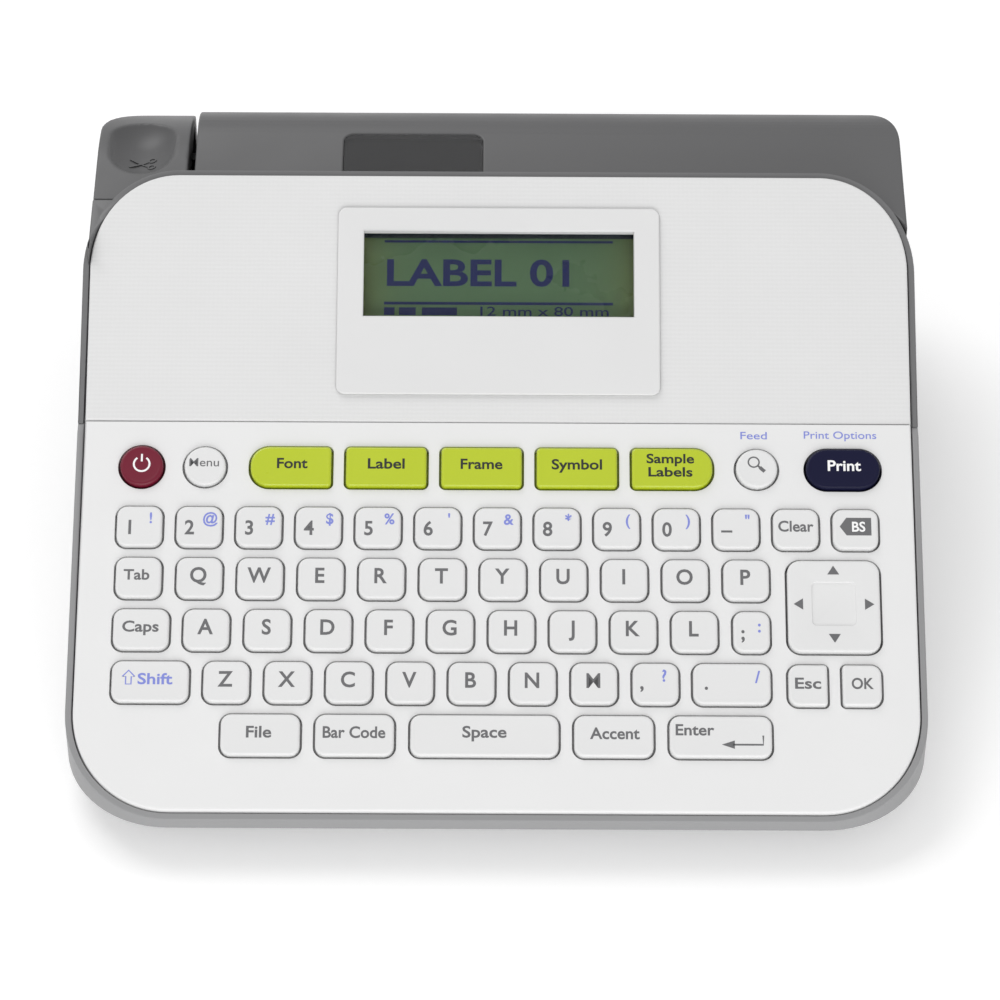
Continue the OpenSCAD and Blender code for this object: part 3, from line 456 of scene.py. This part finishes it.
def wire(tree, shader, effect):
    """The colour and gloss of a shared effect on the shader."""
    tree.links.new(effect["Colour"], shader.inputs["Base Color"])
    tree.links.new(effect["Roughness"], shader.inputs["Roughness"])


def bumped(tree, shader, height, distance):
    """Height as a bump on the shader."""
    bump = put(tree, "Bump", {"Height": height, "Distance": distance, "Strength": 1.0})
    tree.links.new(bump.outputs[0], shader.inputs["Normal"])


COAT_ROUGHNESS = 0.15
SCRATCH_DEPTH = 0.004 * MM
RULING_DEPTH = 0.01 * MM


def moulded(name, colour, gloss, mottle=0.03, grain=4000.0, depth=0.012, coat=0.0, shine=0.5):
    """Injection moulded plastic with its own grain and gloss. depth is the grain's, in mm."""
    finish, tree, shader = new_finish(name)
    values = {"Colour": colour, "Mottle": mottle, "Grain": grain, "Gloss": gloss}
    skin = use_group(tree, MOULDED_SKIN, values)
    wire(tree, shader, skin)
    bumped(tree, shader, skin["Height"], depth * MM)
    shader.inputs["Specular IOR Level"].default_value = shine
    shader.inputs["Coat Weight"].default_value = coat
    shader.inputs["Coat Roughness"].default_value = COAT_ROUGHNESS
    return finish


def metal(name, colour, gloss, stretch):
    """Metal with fine marks along one way."""
    finish, tree, shader = new_finish(name)
    marks = use_group(tree, BRUSHING, {"Colour": colour, "Stretch": stretch, "Gloss": gloss})
    wire(tree, shader, marks)
    bumped(tree, shader, marks["Height"], SCRATCH_DEPTH)
    shader.inputs["Metallic"].default_value = 1.0
    return finish


def clear(name, colour, gloss, marks, bend=1.49, through=1.0):
    """Clear or smoked moulded window. bend is its refraction, through the light it lets by."""
    finish, tree, shader = new_finish(name)
    smears = use_group(tree, HANDLING_MARKS, {"Gloss": gloss, "Marks": marks})
    tree.links.new(smears["Roughness"], shader.inputs["Roughness"])
    shader.inputs["Base Color"].default_value = colour
    shader.inputs["Transmission Weight"].default_value = through
    shader.inputs["IOR"].default_value = bend
    return finish


def ruled_panel():
    """Satin white panel with close ruled lines."""
    finish, tree, shader = new_finish("ruled_panel")
    ruling = use_group(tree, FINE_RULING,
                       {"Colour": PANEL_WHITE, "Pitch": 1.0, "Strength": 0.013})
    skin = use_group(tree, MOULDED_SKIN,
                     {"Colour": ruling["Colour"], "Mottle": 0.012, "Gloss": 0.42})
    wire(tree, shader, skin)
    bumped(tree, shader, ruling["Height"], RULING_DEPTH)
    return finish


def liquid_crystal():
    """Green grey reflective display, a little browner towards its ends."""
    finish, tree, shader = new_finish("liquid_crystal")
    place = put(tree, "SeparateXYZ", {0: put(tree, "TexCoord").outputs["Object"]})
    half_widths_per_metre, steepness = 32.0, 6.0
    outward = math_node(tree, "MULTIPLY", place.outputs["X"], half_widths_per_metre)
    end = math_node(tree, "POWER", math_node(tree, "ABSOLUTE", outward), steepness)
    back = mixed(tree, end, paint(97, 122, 94), paint(112, 120, 76))
    skin = use_group(tree, MOULDED_SKIN,
                     {"Colour": back, "Mottle": 0.015, "Grain": 2500.0, "Gloss": 0.3})
    wire(tree, shader, skin)
    return finish


def solder_mask():
    """Green lacquered board with copper tracks under the lacquer."""
    finish, tree, shader = new_finish("solder_mask")
    place = put(tree, "TexCoord").outputs["Object"]
    values = {"Vector": place, "Scale": 160.0, "Mortar Size": 0.04, "Color1": paint(20, 84, 48),
              "Color2": paint(26, 96, 54), "Mortar": paint(62, 128, 66)}
    tracks = put(tree, "TexBrick", values).outputs[0]
    skin = use_group(tree, MOULDED_SKIN, {"Colour": tracks, "Mottle": 0.05, "Gloss": 0.28})
    wire(tree, shader, skin)
    return finish


PANEL_WHITE = paint(222, 222, 222)
CAP_WHITE = paint(226, 226, 226)
FINISH = {
    "grey_case": moulded("grey_case", paint(144, 144, 145), 0.48, 0.03, 3200.0, 0.02),
    "dark_grey_cover": moulded("dark_grey_cover", paint(91, 91, 92), 0.46, 0.03, 3200.0, 0.02),
    "white_cover": moulded("white_cover", paint(230, 230, 230), 0.4, 0.012, 5000.0, 0.006),
    "textured_panel": ruled_panel(),
    "white_key": moulded("white_key", CAP_WHITE, 0.36, 0.012, 6000.0, 0.004),
    "lime_key": moulded("lime_key", paint(184, 200, 36), 0.3, 0.02, 6000.0, 0.004, 0.2),
    "maroon_key": moulded("maroon_key", paint(112, 14, 42), 0.34, 0.02, 6000.0, 0.003, 0.0, 0.4),
    "navy_key": moulded("navy_key", paint(22, 23, 52), 0.38, 0.02, 6000.0, 0.003, 0.0, 0.15),
    "clear_lens": clear("clear_lens", paint(236, 242, 236), 0.0, 0.02, 1.15),
    "lcd": liquid_crystal(),
    "smoked_window": clear("smoked_window", paint(172, 172, 174), 0.03, 0.1, 1.49, 0.94),
    "steel": metal("steel", paint(196, 198, 202), 0.22, (400.0, 9000.0, 9000.0)),
    "aluminium": metal("aluminium", paint(210, 212, 216), 0.32, (400.0, 9000.0, 9000.0)),
    "brass": metal("brass", paint(214, 182, 106), 0.25, (9000.0, 300.0, 9000.0)),
    "dark_chassis": moulded("dark_chassis", paint(62, 64, 67), 0.5, 0.04, 3000.0, 0.02),
    "black_plastic": moulded("black_plastic", paint(34, 34, 36), 0.42, 0.05, 3500.0, 0.012),
    "gear_plastic": moulded("gear_plastic", paint(226, 220, 202), 0.38, 0.02, 3500.0, 0.006),
    "circuit_board": solder_mask(),
    "silicone": moulded("silicone", paint(158, 162, 166), 0.6, 0.03, 2500.0, 0.01),
    "foot_rubber": moulded("foot_rubber", paint(36, 36, 37), 0.75, 0.06, 2200.0, 0.03),
    "platen_rubber": moulded("platen_rubber", paint(30, 30, 31), 0.7, 0.06, 2600.0, 0.02),
}
BEZEL_WHITE = moulded("bezel_white", paint(222, 222, 222), 0.4, 0.012, 5000.0, 0.006)
FRAME_GREY = moulded("frame_grey", paint(112, 112, 113), 0.48, 0.03, 3200.0, 0.02)
# Painted shadow: dark blue-grey colour of the strip that stands for the bezel's shadow on the
# liquid crystal.
LCD_SHADOW_STRIP = moulded("lcd_painted_shadow", paint(60, 64, 74), 0.4, 0.05, 5000.0, 0.002)
GREY_INK = moulded("grey_ink", paint(104, 104, 106), 0.5, 0.05, 5000.0, 0.002)
BLUE_INK = moulded("blue_ink", paint(128, 138, 214), 0.5, 0.04, 5000.0, 0.002)
DARK_INK = moulded("dark_ink", paint(34, 38, 34), 0.45, 0.05, 5000.0, 0.002)
WHITE_INK = moulded("white_ink", paint(246, 246, 246), 0.45, 0.02, 5000.0, 0.002)
SEGMENT_INK = moulded("segment_ink", paint(34, 37, 100), 0.3, 0.03, 5000.0, 0.001)


# ---------- keys ----------

FLANGE = 0.6
FLANGE_LEVELS = (-3.2, -2.4)
STEM = 2.0
STEM_CHAMFER = 0.3
FILLET = 0.55
FILLET_STEPS = 5
DRAFT = 0.06
DISH = 0.06
DISH_STEPS = ((0.9, 0.7), (1.25, 1.0))
CORNER_STEPS = 7
CORNER = 2.3
FACING_CORNER = 0.9
FLAT_END = 0.03
LEAST_BEND = 0.04


def cap_outline(width, depth, left, right, inset):
    """Rounded outline of a key, drawn in by inset, starting at its right front corner."""
    half_w, half_d = width / 2 - inset, depth / 2 - inset
    points = []
    corners = ((1, -1, right, -90), (1, 1, right, 0), (-1, 1, left, 90), (-1, -1, left, 180))
    for side, front, radius, start in corners:
        bend = max(min(radius, depth / 2 - FLAT_END) - inset, LEAST_BEND)
        points += arc(side * (half_w - bend), front * (half_d - bend), bend,
                      start, start + 90, CORNER_STEPS)
    return points


def cap_rings(width, depth, left, right, low, top, drop):
    """Rings of a key from the end of its stem to the middle of its dished face."""
    outer = cap_outline(width, depth, left, right, 0)
    angles = [math.atan2(y, x) for x, y in outer]
    flange_low, flange_high = (level - drop for level in FLANGE_LEVELS)

    def round_ring(radius, level):
        return [(radius * math.cos(a), radius * math.sin(a), level) for a in angles]

    def ring(inset, level):
        return [(x, y, level) for x, y in cap_outline(width, depth, left, right, inset)]

    rings = [round_ring(STEM - STEM_CHAMFER, low), round_ring(STEM, low + STEM_CHAMFER),
             round_ring(STEM, flange_low), ring(-FLANGE, flange_low),
             ring(-FLANGE, flange_high), ring(0, flange_high), ring(DRAFT, top - FILLET)]
    for step in range(1, FILLET_STEPS + 1):
        turn = math.radians(90 // FILLET_STEPS * step)
        rings.append(ring(DRAFT + FILLET * (1 - math.cos(turn)),
                          top - FILLET * (1 - math.sin(turn))))
    for inset, share in DISH_STEPS + ((min(width, depth) / 2 - 1.0, 1.0),):
        rings.append(ring(inset, top - DISH * share))
    return rings


def key_place(low, high):
    """Middle, width and depth of a key's face, from the corners of its solid with the flange."""
    width, depth = high.x - low.x - 2 * FLANGE, high.y - low.y - 2 * FLANGE
    return (low.x + high.x) / 2, (low.y + high.y) / 2, width, depth


def key_set(node, finishes, ends, marks, drop=0.0):
    """The keys of one node, with soft edges, a slight dish and their printed marks."""
    bm = bmesh.new()
    turn_in = DECK.inverted()
    for index, points in enumerate(solids_of(node)):
        low, high = extent([turn_in @ point for point in points])
        x, v, width, depth = key_place(low, high)
        left, right = ends
        rings = cap_rings(width, depth, left, right, low.z, high.z, drop)
        loft(bm, [[(x + px, v + pv, level) for px, pv, level in ring] for ring in rings])
        for draw in marks[index]:
            draw(bm, x, v, high.z - DISH)
    mesh = finished_mesh(node + "_caps", bm, DECK)
    piece = new_piece(node + "_caps", mesh, BODY_OF[node], finishes)
    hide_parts(node)
    return piece


WHITE_SET = [FINISH["white_key"], GREY_INK, BLUE_INK]
LIME_SET = [FINISH["lime_key"], DARK_INK]
ROUND = 9.0
SQUARE_ENDS = (CORNER, CORNER)
ROUND_ENDS = (ROUND, ROUND)


def power_mark():
    """Broken ring with an upright bar."""
    return [line(arc(0, 0.3, 1.75, -235, 55, 22), 0.42), line([(0, 0.9), (0, 2.7)], 0.42)]


def magnifier_mark():
    """Ring with a thick handle."""
    return [line(arc(-0.65, 1.4, 1.2, 0, 345, 24), 0.34, closed=True),
            line([(0.3, 0.5), (0.75, 0.1)], 0.45), line([(0.7, 0.15), (1.75, -0.85)], 0.8)]


def backspace_mark():
    """Filled tag that points left, with white letters on it."""
    tag = [(-3.5, 0.55), (-2.0, -1.55), (3.5, -1.55), (3.5, 2.65), (-2.0, 2.65)]
    return [shape(tag, lift=TAG_LIFT), say("BS", 2.3, 0.7, 0.55, slot=3)]


def arrow_heads():
    """Four small triangles that point outwards."""
    marks = []
    for angle, reach in ((90, 8.0), (0, 7.8), (270, 8.0), (180, 7.8)):
        turn = math.radians(angle)
        ahead = Vector((math.cos(turn), math.sin(turn)))
        aside = Vector((-math.sin(turn), math.cos(turn))) * 1.3
        middle = ahead * reach
        tip, base = middle + ahead * 1.05, middle - ahead * 1.0
        marks.append(shape([tuple(tip), tuple(base + aside), tuple(base - aside)]))
    return marks


def shift_mark():
    """Hollow arrow and its word."""
    half = [(1.35, 0.3), (0.6, 0.3), (0.6, -1.45)]
    arrow = [(0, 1.75)] + half + [(-x, y) for x, y in reversed(half)]
    return [line([(x - 4.7, y + 0.7) for x, y in arrow], 0.3, 2, closed=True),
            say("Shift", 2.5, 1.1, 0.55, 2, 7.6)]


def enter_mark():
    """Word and an arrow that turns back to the left."""
    head = [(0.2, -1.9), (3.0, -0.95), (3.0, -2.85)]
    tail = [(9.2, 0.2), (9.2, -1.9), (2.6, -1.9)]
    return [say("Enter", 2.5, -5.6, 1.5, 1, 8.4), line(tail, 0.4), shape(head)]


def make_keys():
    """Every key of the deck."""
    symbols = "!@#$%'&*()\""
    numbers = [[say(digit, 3.3, -2.1, -0.3), say(symbol, 2.5, 2.5, 1.9, 2)]
               for digit, symbol in zip("1234567890–", symbols)]
    key_set("number_keys", WHITE_SET, SQUARE_ENDS, numbers)
    upper, middle, lower = ([[say(letter, 3.5, -0.2)] for letter in row]
                            for row in ("QWERTYUIOP", "ASDFGHJKL", "ZXCVBNM"))
    middle.append([say(";", 3.3, -1.9, -0.3), say(":", 2.9, 1.7, 1.3, 2)])
    lower.append([say(",", 3.3, -3.0, 0.3), say("?", 2.7, 1.9, 1.8, 2)])
    lower.append([say(".", 3.3, -5.6, 0.3), say("/", 2.7, 5.6, 1.6, 2)])
    key_set("upper_letter_keys", WHITE_SET, SQUARE_ENDS, upper)
    key_set("middle_letter_keys", WHITE_SET, SQUARE_ENDS, middle)
    key_set("lower_letter_keys", WHITE_SET, SQUARE_ENDS, lower)
    make_word_keys()
    make_function_keys()


def make_word_keys():
    """White keys with words, the backspace, escape and OK keys among them."""
    words = {
        "tab_key": [say("Tab", 2.4, -0.4, 0.6, 1, 5.7)],
        "caps_key": [say("Caps", 2.5, -0.1, 0.6, 1, 8.0)],
        "shift_key": shift_mark(),
        "file_key": [say("File", 2.6, -0.3, 0.6, 1, 5.5)],
        "barcode_key": [say("Bar Code", 2.6, -0.1, 0.6, 1, 13.6)],
        "space_key": [say("Space", 2.6, 0, 0.8, 1, 9.6)],
        "accent_key": [say("Accent", 2.6, 0.2, 0.6, 1, 10.8)],
        "enter_key": enter_mark(),
        "clear_key": [say("Clear", 2.5, 0, 0.6, 1, 7.8)],
    }
    for node, marks in words.items():
        key_set(node, WHITE_SET, SQUARE_ENDS, [marks])
    key_set("backspace_key", WHITE_SET + [WHITE_INK], SQUARE_ENDS, [backspace_mark()])
    key_set("escape_key", WHITE_SET, (CORNER, FACING_CORNER),
            [[say("Esc", 2.5, 0, 0.4, 1, 5.7)]])
    key_set("ok_key", WHITE_SET, (FACING_CORNER, CORNER), [[say("OK", 2.5, 0.1, 0.4, 1, 4.8)]])


def make_function_keys():
    """The keys of the function row."""
    key_set("menu_key", WHITE_SET, ROUND_ENDS, [[say("Menu", 2.0, -0.2, 0.8, 1, 6.6)]])
    key_set("preview_key", WHITE_SET, ROUND_ENDS, [magnifier_mark()])
    key_set("power_key", [FINISH["maroon_key"], WHITE_INK], ROUND_ENDS, [power_mark()])
    key_set("print_key", [FINISH["navy_key"], WHITE_INK], ROUND_ENDS,
            [[say("Print", 2.5, 0.3, 0.7, 1, 7.4)]])
    lime_end, lime_corner = 4.2, 1.0
    key_set("font_key", LIME_SET, (lime_end, lime_corner), [[say("Font", 2.4, 0.3, 0.7, 1, 6.8)]])
    for word, wide in (("Label", 8.2), ("Frame", 9.3), ("Symbol", 11.2)):
        key_set(word.lower() + "_key", LIME_SET, (lime_corner, lime_corner),
                [[say(word, 2.4, 0, 0.7, 1, wide)]])
    sample = [say("Sample", 2.2, -0.4, 2.2, 1, 10.6), say("Labels", 2.2, -0.4, -1.0, 1, 9.8)]
    key_set("sample_key", LIME_SET, (lime_corner, lime_end), [sample])


def make_cursor_pad():
    """Rocking pad with a sunk square in its middle and four arrow heads."""
    low, high = extent_on("cursor_pad", DECK)
    x, v, width, depth = key_place(low, high)
    corner, sink, well_w, well_d, drop = 3.0, 0.4, 9.6, 10.2, 1.0
    dish_rings = len(DISH_STEPS) + 1
    rings = cap_rings(width, depth, corner, corner, low.z, high.z, drop)[:-dish_rings]
    for inset, level in ((0.9, 0), (1.6, -0.02)):
        outline = cap_outline(width, depth, corner, corner, inset)
        rings.append([(px, pv, high.z + level) for px, pv in outline])
    for grow, level in ((0.35, -0.02), (0.1, -0.06), (-0.1, -sink + 0.08), (-0.35, -sink)):
        well = cap_outline(well_w + 2 * grow, well_d + 2 * grow, 1.0 + grow, 1.0 + grow, 0)
        rings.append([(px, pv + 0.5, high.z + level) for px, pv in well])
    bm = bmesh.new()
    loft(bm, [[(x + px, v + pv, level) for px, pv, level in ring] for ring in rings])
    for draw in arrow_heads():
        draw(bm, x, v + 0.4, high.z)
    mesh = finished_mesh("cursor_pad_cap", bm, DECK)
    piece = new_piece("cursor_pad_cap", mesh, BODY_OF["cursor_pad"],
                      WHITE_SET)
    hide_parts("cursor_pad")


# ---------- covers ----------

def near_key(point):
    """True where a point of the deck lies at the edge of a key's opening."""
    place = DECK.inverted() @ point
    return any(low.x < place.x < high.x and low.y < place.y < high.y for low, high in KEY_BOXES)


KEY_NODES = [node for node in NODES if node.endswith(("_key", "_keys")) or node == "cursor_pad"]
KEY_BOXES = [extent([DECK.inverted() @ point for point in points])
             for node in KEY_NODES for points in solids_of(node)]
FACE_DEPTH = 0.5
OPENING_SHARE = 0.12


def make_covers():
    """The two white covers and the display's raised frame."""
    deck_level = DECK.inverted()
    panel_level = PANEL.inverted()

    def deck_share(point):
        if (deck_level @ point).z < -FACE_DEPTH:
            return 0.0
        return OPENING_SHARE if near_key(point) else 1.0

    def panel_share(point):
        return 1.0 if (panel_level @ point).z > -FACE_DEPTH else 0.0

    softened("keyboard_cover", 0.55 * MM, FINISH["white_cover"], deck_share)
    softened("display_cover", 0.55 * MM, FINISH["textured_panel"], panel_share)
    softened("display_bezel", 0.5 * MM, BEZEL_WHITE)


def make_deck_print():
    """Small words printed on the deck above the two right keys of the function row."""
    bm = bmesh.new()
    tall, weight = 1.8, 0.004
    for node, words, dx, dv, wide in (("preview_key", "Feed", -0.5, 8.3, 5.9),
                                      ("print_key", "Print Options", -0.4, 8.5, 16.2)):
        x, v = key_place(*extent_on(node, DECK))[:2]
        letters(bm, words, tall, x + dx, v + dv, 0, 0, wide, weight)
    mesh = finished_mesh("deck_print", bm, DECK)
    new_piece("deck_print", mesh, "case", [BLUE_INK])


def make_display_picture():
    """Letters, rules and the status row on the liquid crystal, with a painted shadow strip along
    its top edge.
    """
    low, high = extent_on("display_lens", PANEL)
    face = extent_on("lcd_module", PANEL)[1].z
    lens_lip, margin, edge_past = 1.6, 4.6, 1.2
    x0, x1 = low.x + lens_lip, high.x - lens_lip
    v0, v1 = low.y + lens_lip, high.y - lens_lip
    left, right = x0 + margin, x1 - margin
    ink = (face - INK_SINK, face + INK_LIFT)

    def block(start, end, bottom, top, slot):
        corners = [(start, bottom), (end, bottom), (end, top), (start, top)]
        patch(bm, corners, *ink, slot)

    bm = bmesh.new()
    letters(bm, "LABEL 01", 6.2, left + 21.25, v0 + 11.6, face, 0, 41.3, 0.022)
    for level, width in ((v1 - 1.2, 0.55), (v0 + 4.2, 0.65)):
        ribbon(bm, [(left, level), (right, level)], width, *ink, 0)
    letters(bm, "12 mm x 80 mm", 2.2, right - 15.5, v0 + 2.4, face, 0, 29.0, 0.006)
    for start, end in ((0.0, 2.4), (3.4, 7.2), (8.6, 16.5)):
        block(left + start, left + end, v0 + 1.4, v0 + 3.2, 0)
    # Dark strip along the top edge of the liquid crystal, wider than the window: painted shadow of
    # the bezel's upper wall.
    block(x0 - edge_past, x1 + edge_past, v1 - 0.4, v1 + 1.5, 1)
    mesh = finished_mesh("display_picture", bm, PANEL)
    new_piece("display_picture", mesh, "case", [SEGMENT_INK, LCD_SHADOW_STRIP])


# ---------- grey mouldings ----------

def make_cases():
    """Grey case, rear frame, tape hatch, battery door and feet with rounded edges."""
    softened("lower_case", 0.3 * MM, FINISH["grey_case"])
    softened("rear_frame", 0.22 * MM, FRAME_GREY, segments=2)
    softened("cassette_cover", 0.5 * MM, FINISH["dark_grey_cover"])
    softened("battery_cover", 0.25 * MM, FINISH["grey_case"], segments=2)
    softened("rubber_feet", 0.4 * MM, FINISH["foot_rubber"])


LEVER_CELL = 0.3 * MM
LEVER_PASSES = 8


def rounded_all_over(node, cell, passes, finish):
    """The shell of a node with every edge worn soft: rebuilt in even small faces and smoothed."""
    mesh = NODES[node].data.copy()
    mesh.name = node + "_shell"
    piece = new_piece(node + "_shell", mesh, BODY_OF[node], [finish])
    rebuild = piece.modifiers.new("even_faces", "REMESH")
    rebuild.mode = "VOXEL"
    rebuild.voxel_size = cell
    rebuild.use_smooth_shade = True
    smooth = piece.modifiers.new("worn_edges", "SMOOTH")
    smooth.factor = 0.5
    smooth.iterations = passes
    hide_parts(node)
    return piece


def make_lever():
    """Cutter lever with every edge rounded."""
    rounded_all_over("cutter_lever", LEVER_CELL, LEVER_PASSES, FINISH["dark_grey_cover"])


def make_scissors_mark():
    """Raised scissors in the lever's thumb hollow, their lines dropped onto its face."""
    solid = bmesh.new()
    solid.from_mesh(NODES["cutter_lever"].data)
    lever = BVHTree.FromBMesh(solid)
    solid.free()
    low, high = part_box("cutter_lever")
    middle = (low.x + high.x) / 2 / MM - 0.35
    start = high.y / MM - 24.8
    sink, rise = -0.3, 0.22
    bm = bmesh.new()
    for way in (-1, 1):
        blade = [(-2.9, 1.7 * way), (0.2, -0.3 * way), (1.3, -1.0 * way)]
        ribbon(bm, blade, 0.4, sink, rise, 0)
        ribbon(bm, arc(2.2, -1.45 * way, 0.8, 0, 345, 16), 0.36, sink, rise, 0, closed=True)
    above = high.z + 10 * MM
    for vertex in bm.verts:
        x, y = (middle + vertex.co.x) * MM, (start + vertex.co.y) * MM
        place = lever.ray_cast(Vector((x, y, above)), Vector((0, 0, -1)))[0]
        vertex.co = Vector((x, y, (place.z if place else high.z) + vertex.co.z * MM))
    mesh = finished_mesh("scissors_mark", bm)
    new_piece("scissors_mark", mesh, "cutter_press",
              [FINISH["dark_grey_cover"]])


def make_slot_baffle():
    """Dark upright inside the case that closes the view through the tape exit slot."""
    lever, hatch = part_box("cutter_lever"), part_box("cassette_cover")
    behind_lever, hatch_gap, past_lever_end, above_floor = 2.6 * MM, 0.3 * MM, 5.5 * MM, 8 * MM
    front, back = lever[1].y - 11.4 * MM, lever[1].y - 9.2 * MM
    left, right = lever[1].x - behind_lever, hatch[0].x - hatch_gap
    corners = [(left, front), (right, front), (right, back), (left, back)]
    bm = bmesh.new()
    patch(bm, corners, above_floor, lever[0].z + past_lever_end, 0)
    new_piece("slot_baffle", finished_mesh("slot_baffle", bm), "case",
              [FINISH["dark_chassis"]])


def finish_inner_nodes():
    """The frame's own nodes take their finish from their record slot."""
    for node, piece in NODES.items():
        piece.data.materials.clear()
        piece.data.materials.append(FINISH[SLOT_OF[node]])


# ---------- studio ----------

def make_floor():
    """Plain pale floor."""
    half_width, glow = 6.0, 0.2
    bm = bmesh.new()
    bmesh.ops.create_grid(bm, x_segments=1, y_segments=1, size=half_width)
    mesh = bpy.data.meshes.new("studio_floor")
    bm.to_mesh(mesh)
    bm.free()
    finish, tree, shader = new_finish("studio_floor")
    shade = noise(tree, 3.0, 2.0)
    pale = mixed(tree, shade, paint(250, 250, 250), paint(246, 246, 246))
    tree.links.new(pale, shader.inputs["Base Color"])
    shader.inputs["Roughness"].default_value = 0.9
    shader.inputs["Emission Color"].default_value = (1, 1, 1, 1)
    shader.inputs["Emission Strength"].default_value = glow
    mesh.materials.append(finish)
    floor = bpy.data.objects.new("studio_floor", mesh)
    bpy.context.scene.collection.objects.link(floor)


def make_light(name, place, size, power):
    """A soft rectangular lamp aimed at the object."""
    lamp = bpy.data.lights.new(name, "AREA")
    lamp.shape = "RECTANGLE"
    lamp.size, lamp.size_y = size
    lamp.energy = power
    holder = bpy.data.objects.new(name, lamp)
    holder.location = place
    aim = Vector((0, 0, 0.03)) - Vector(place)
    holder.rotation_euler = aim.to_track_quat("-Z", "Y").to_euler()
    bpy.context.scene.collection.objects.link(holder)


def make_studio():
    """Pale floor, an even pale surround and two soft lamps."""
    make_floor()
    world = bpy.data.worlds.new("surround")
    world.use_nodes = True
    background = world.node_tree.nodes["Background"].inputs
    background["Color"].default_value = (1, 1, 1, 1)
    background["Strength"].default_value = 0.6
    bpy.context.scene.world = world
    make_light("back_lamp", (-0.5, 0.75, 1.15), (1.0, 0.8), 8.2)
    make_light("front_lamp", (0.1, -1.5, 0.4), (1.6, 0.7), 12.0)
    bpy.context.scene.view_settings.view_transform = "Standard"


def make_camera():
    """Camera above the object and in front of it, aimed at the middle of its bulk."""
    elevation, roll = math.radians(46.64), math.radians(0.268)
    distance, target = 0.9837, Vector((0.00054, -0.01637, 0.0348))
    data = bpy.data.cameras.new("camera")
    data.lens, data.sensor_width = 158.8, 36.0
    data.clip_start, data.clip_end = 0.01, 50.0
    camera = bpy.data.objects.new("camera", data)
    back = Vector((0, -math.cos(elevation), math.sin(elevation)))
    turn = Matrix.Rotation(math.pi / 2 - elevation, 4, "X") @ Matrix.Rotation(roll, 4, "Z")
    camera.matrix_world = Matrix.Translation(target + back * distance) @ turn
    bpy.context.scene.collection.objects.link(camera)
    bpy.context.scene.camera = camera


make_camera()
finish_inner_nodes()
make_covers()
make_keys()
make_cursor_pad()
make_deck_print()
make_display_picture()
make_cases()
make_lever()
make_scissors_mark()
make_slot_baffle()
make_studio()
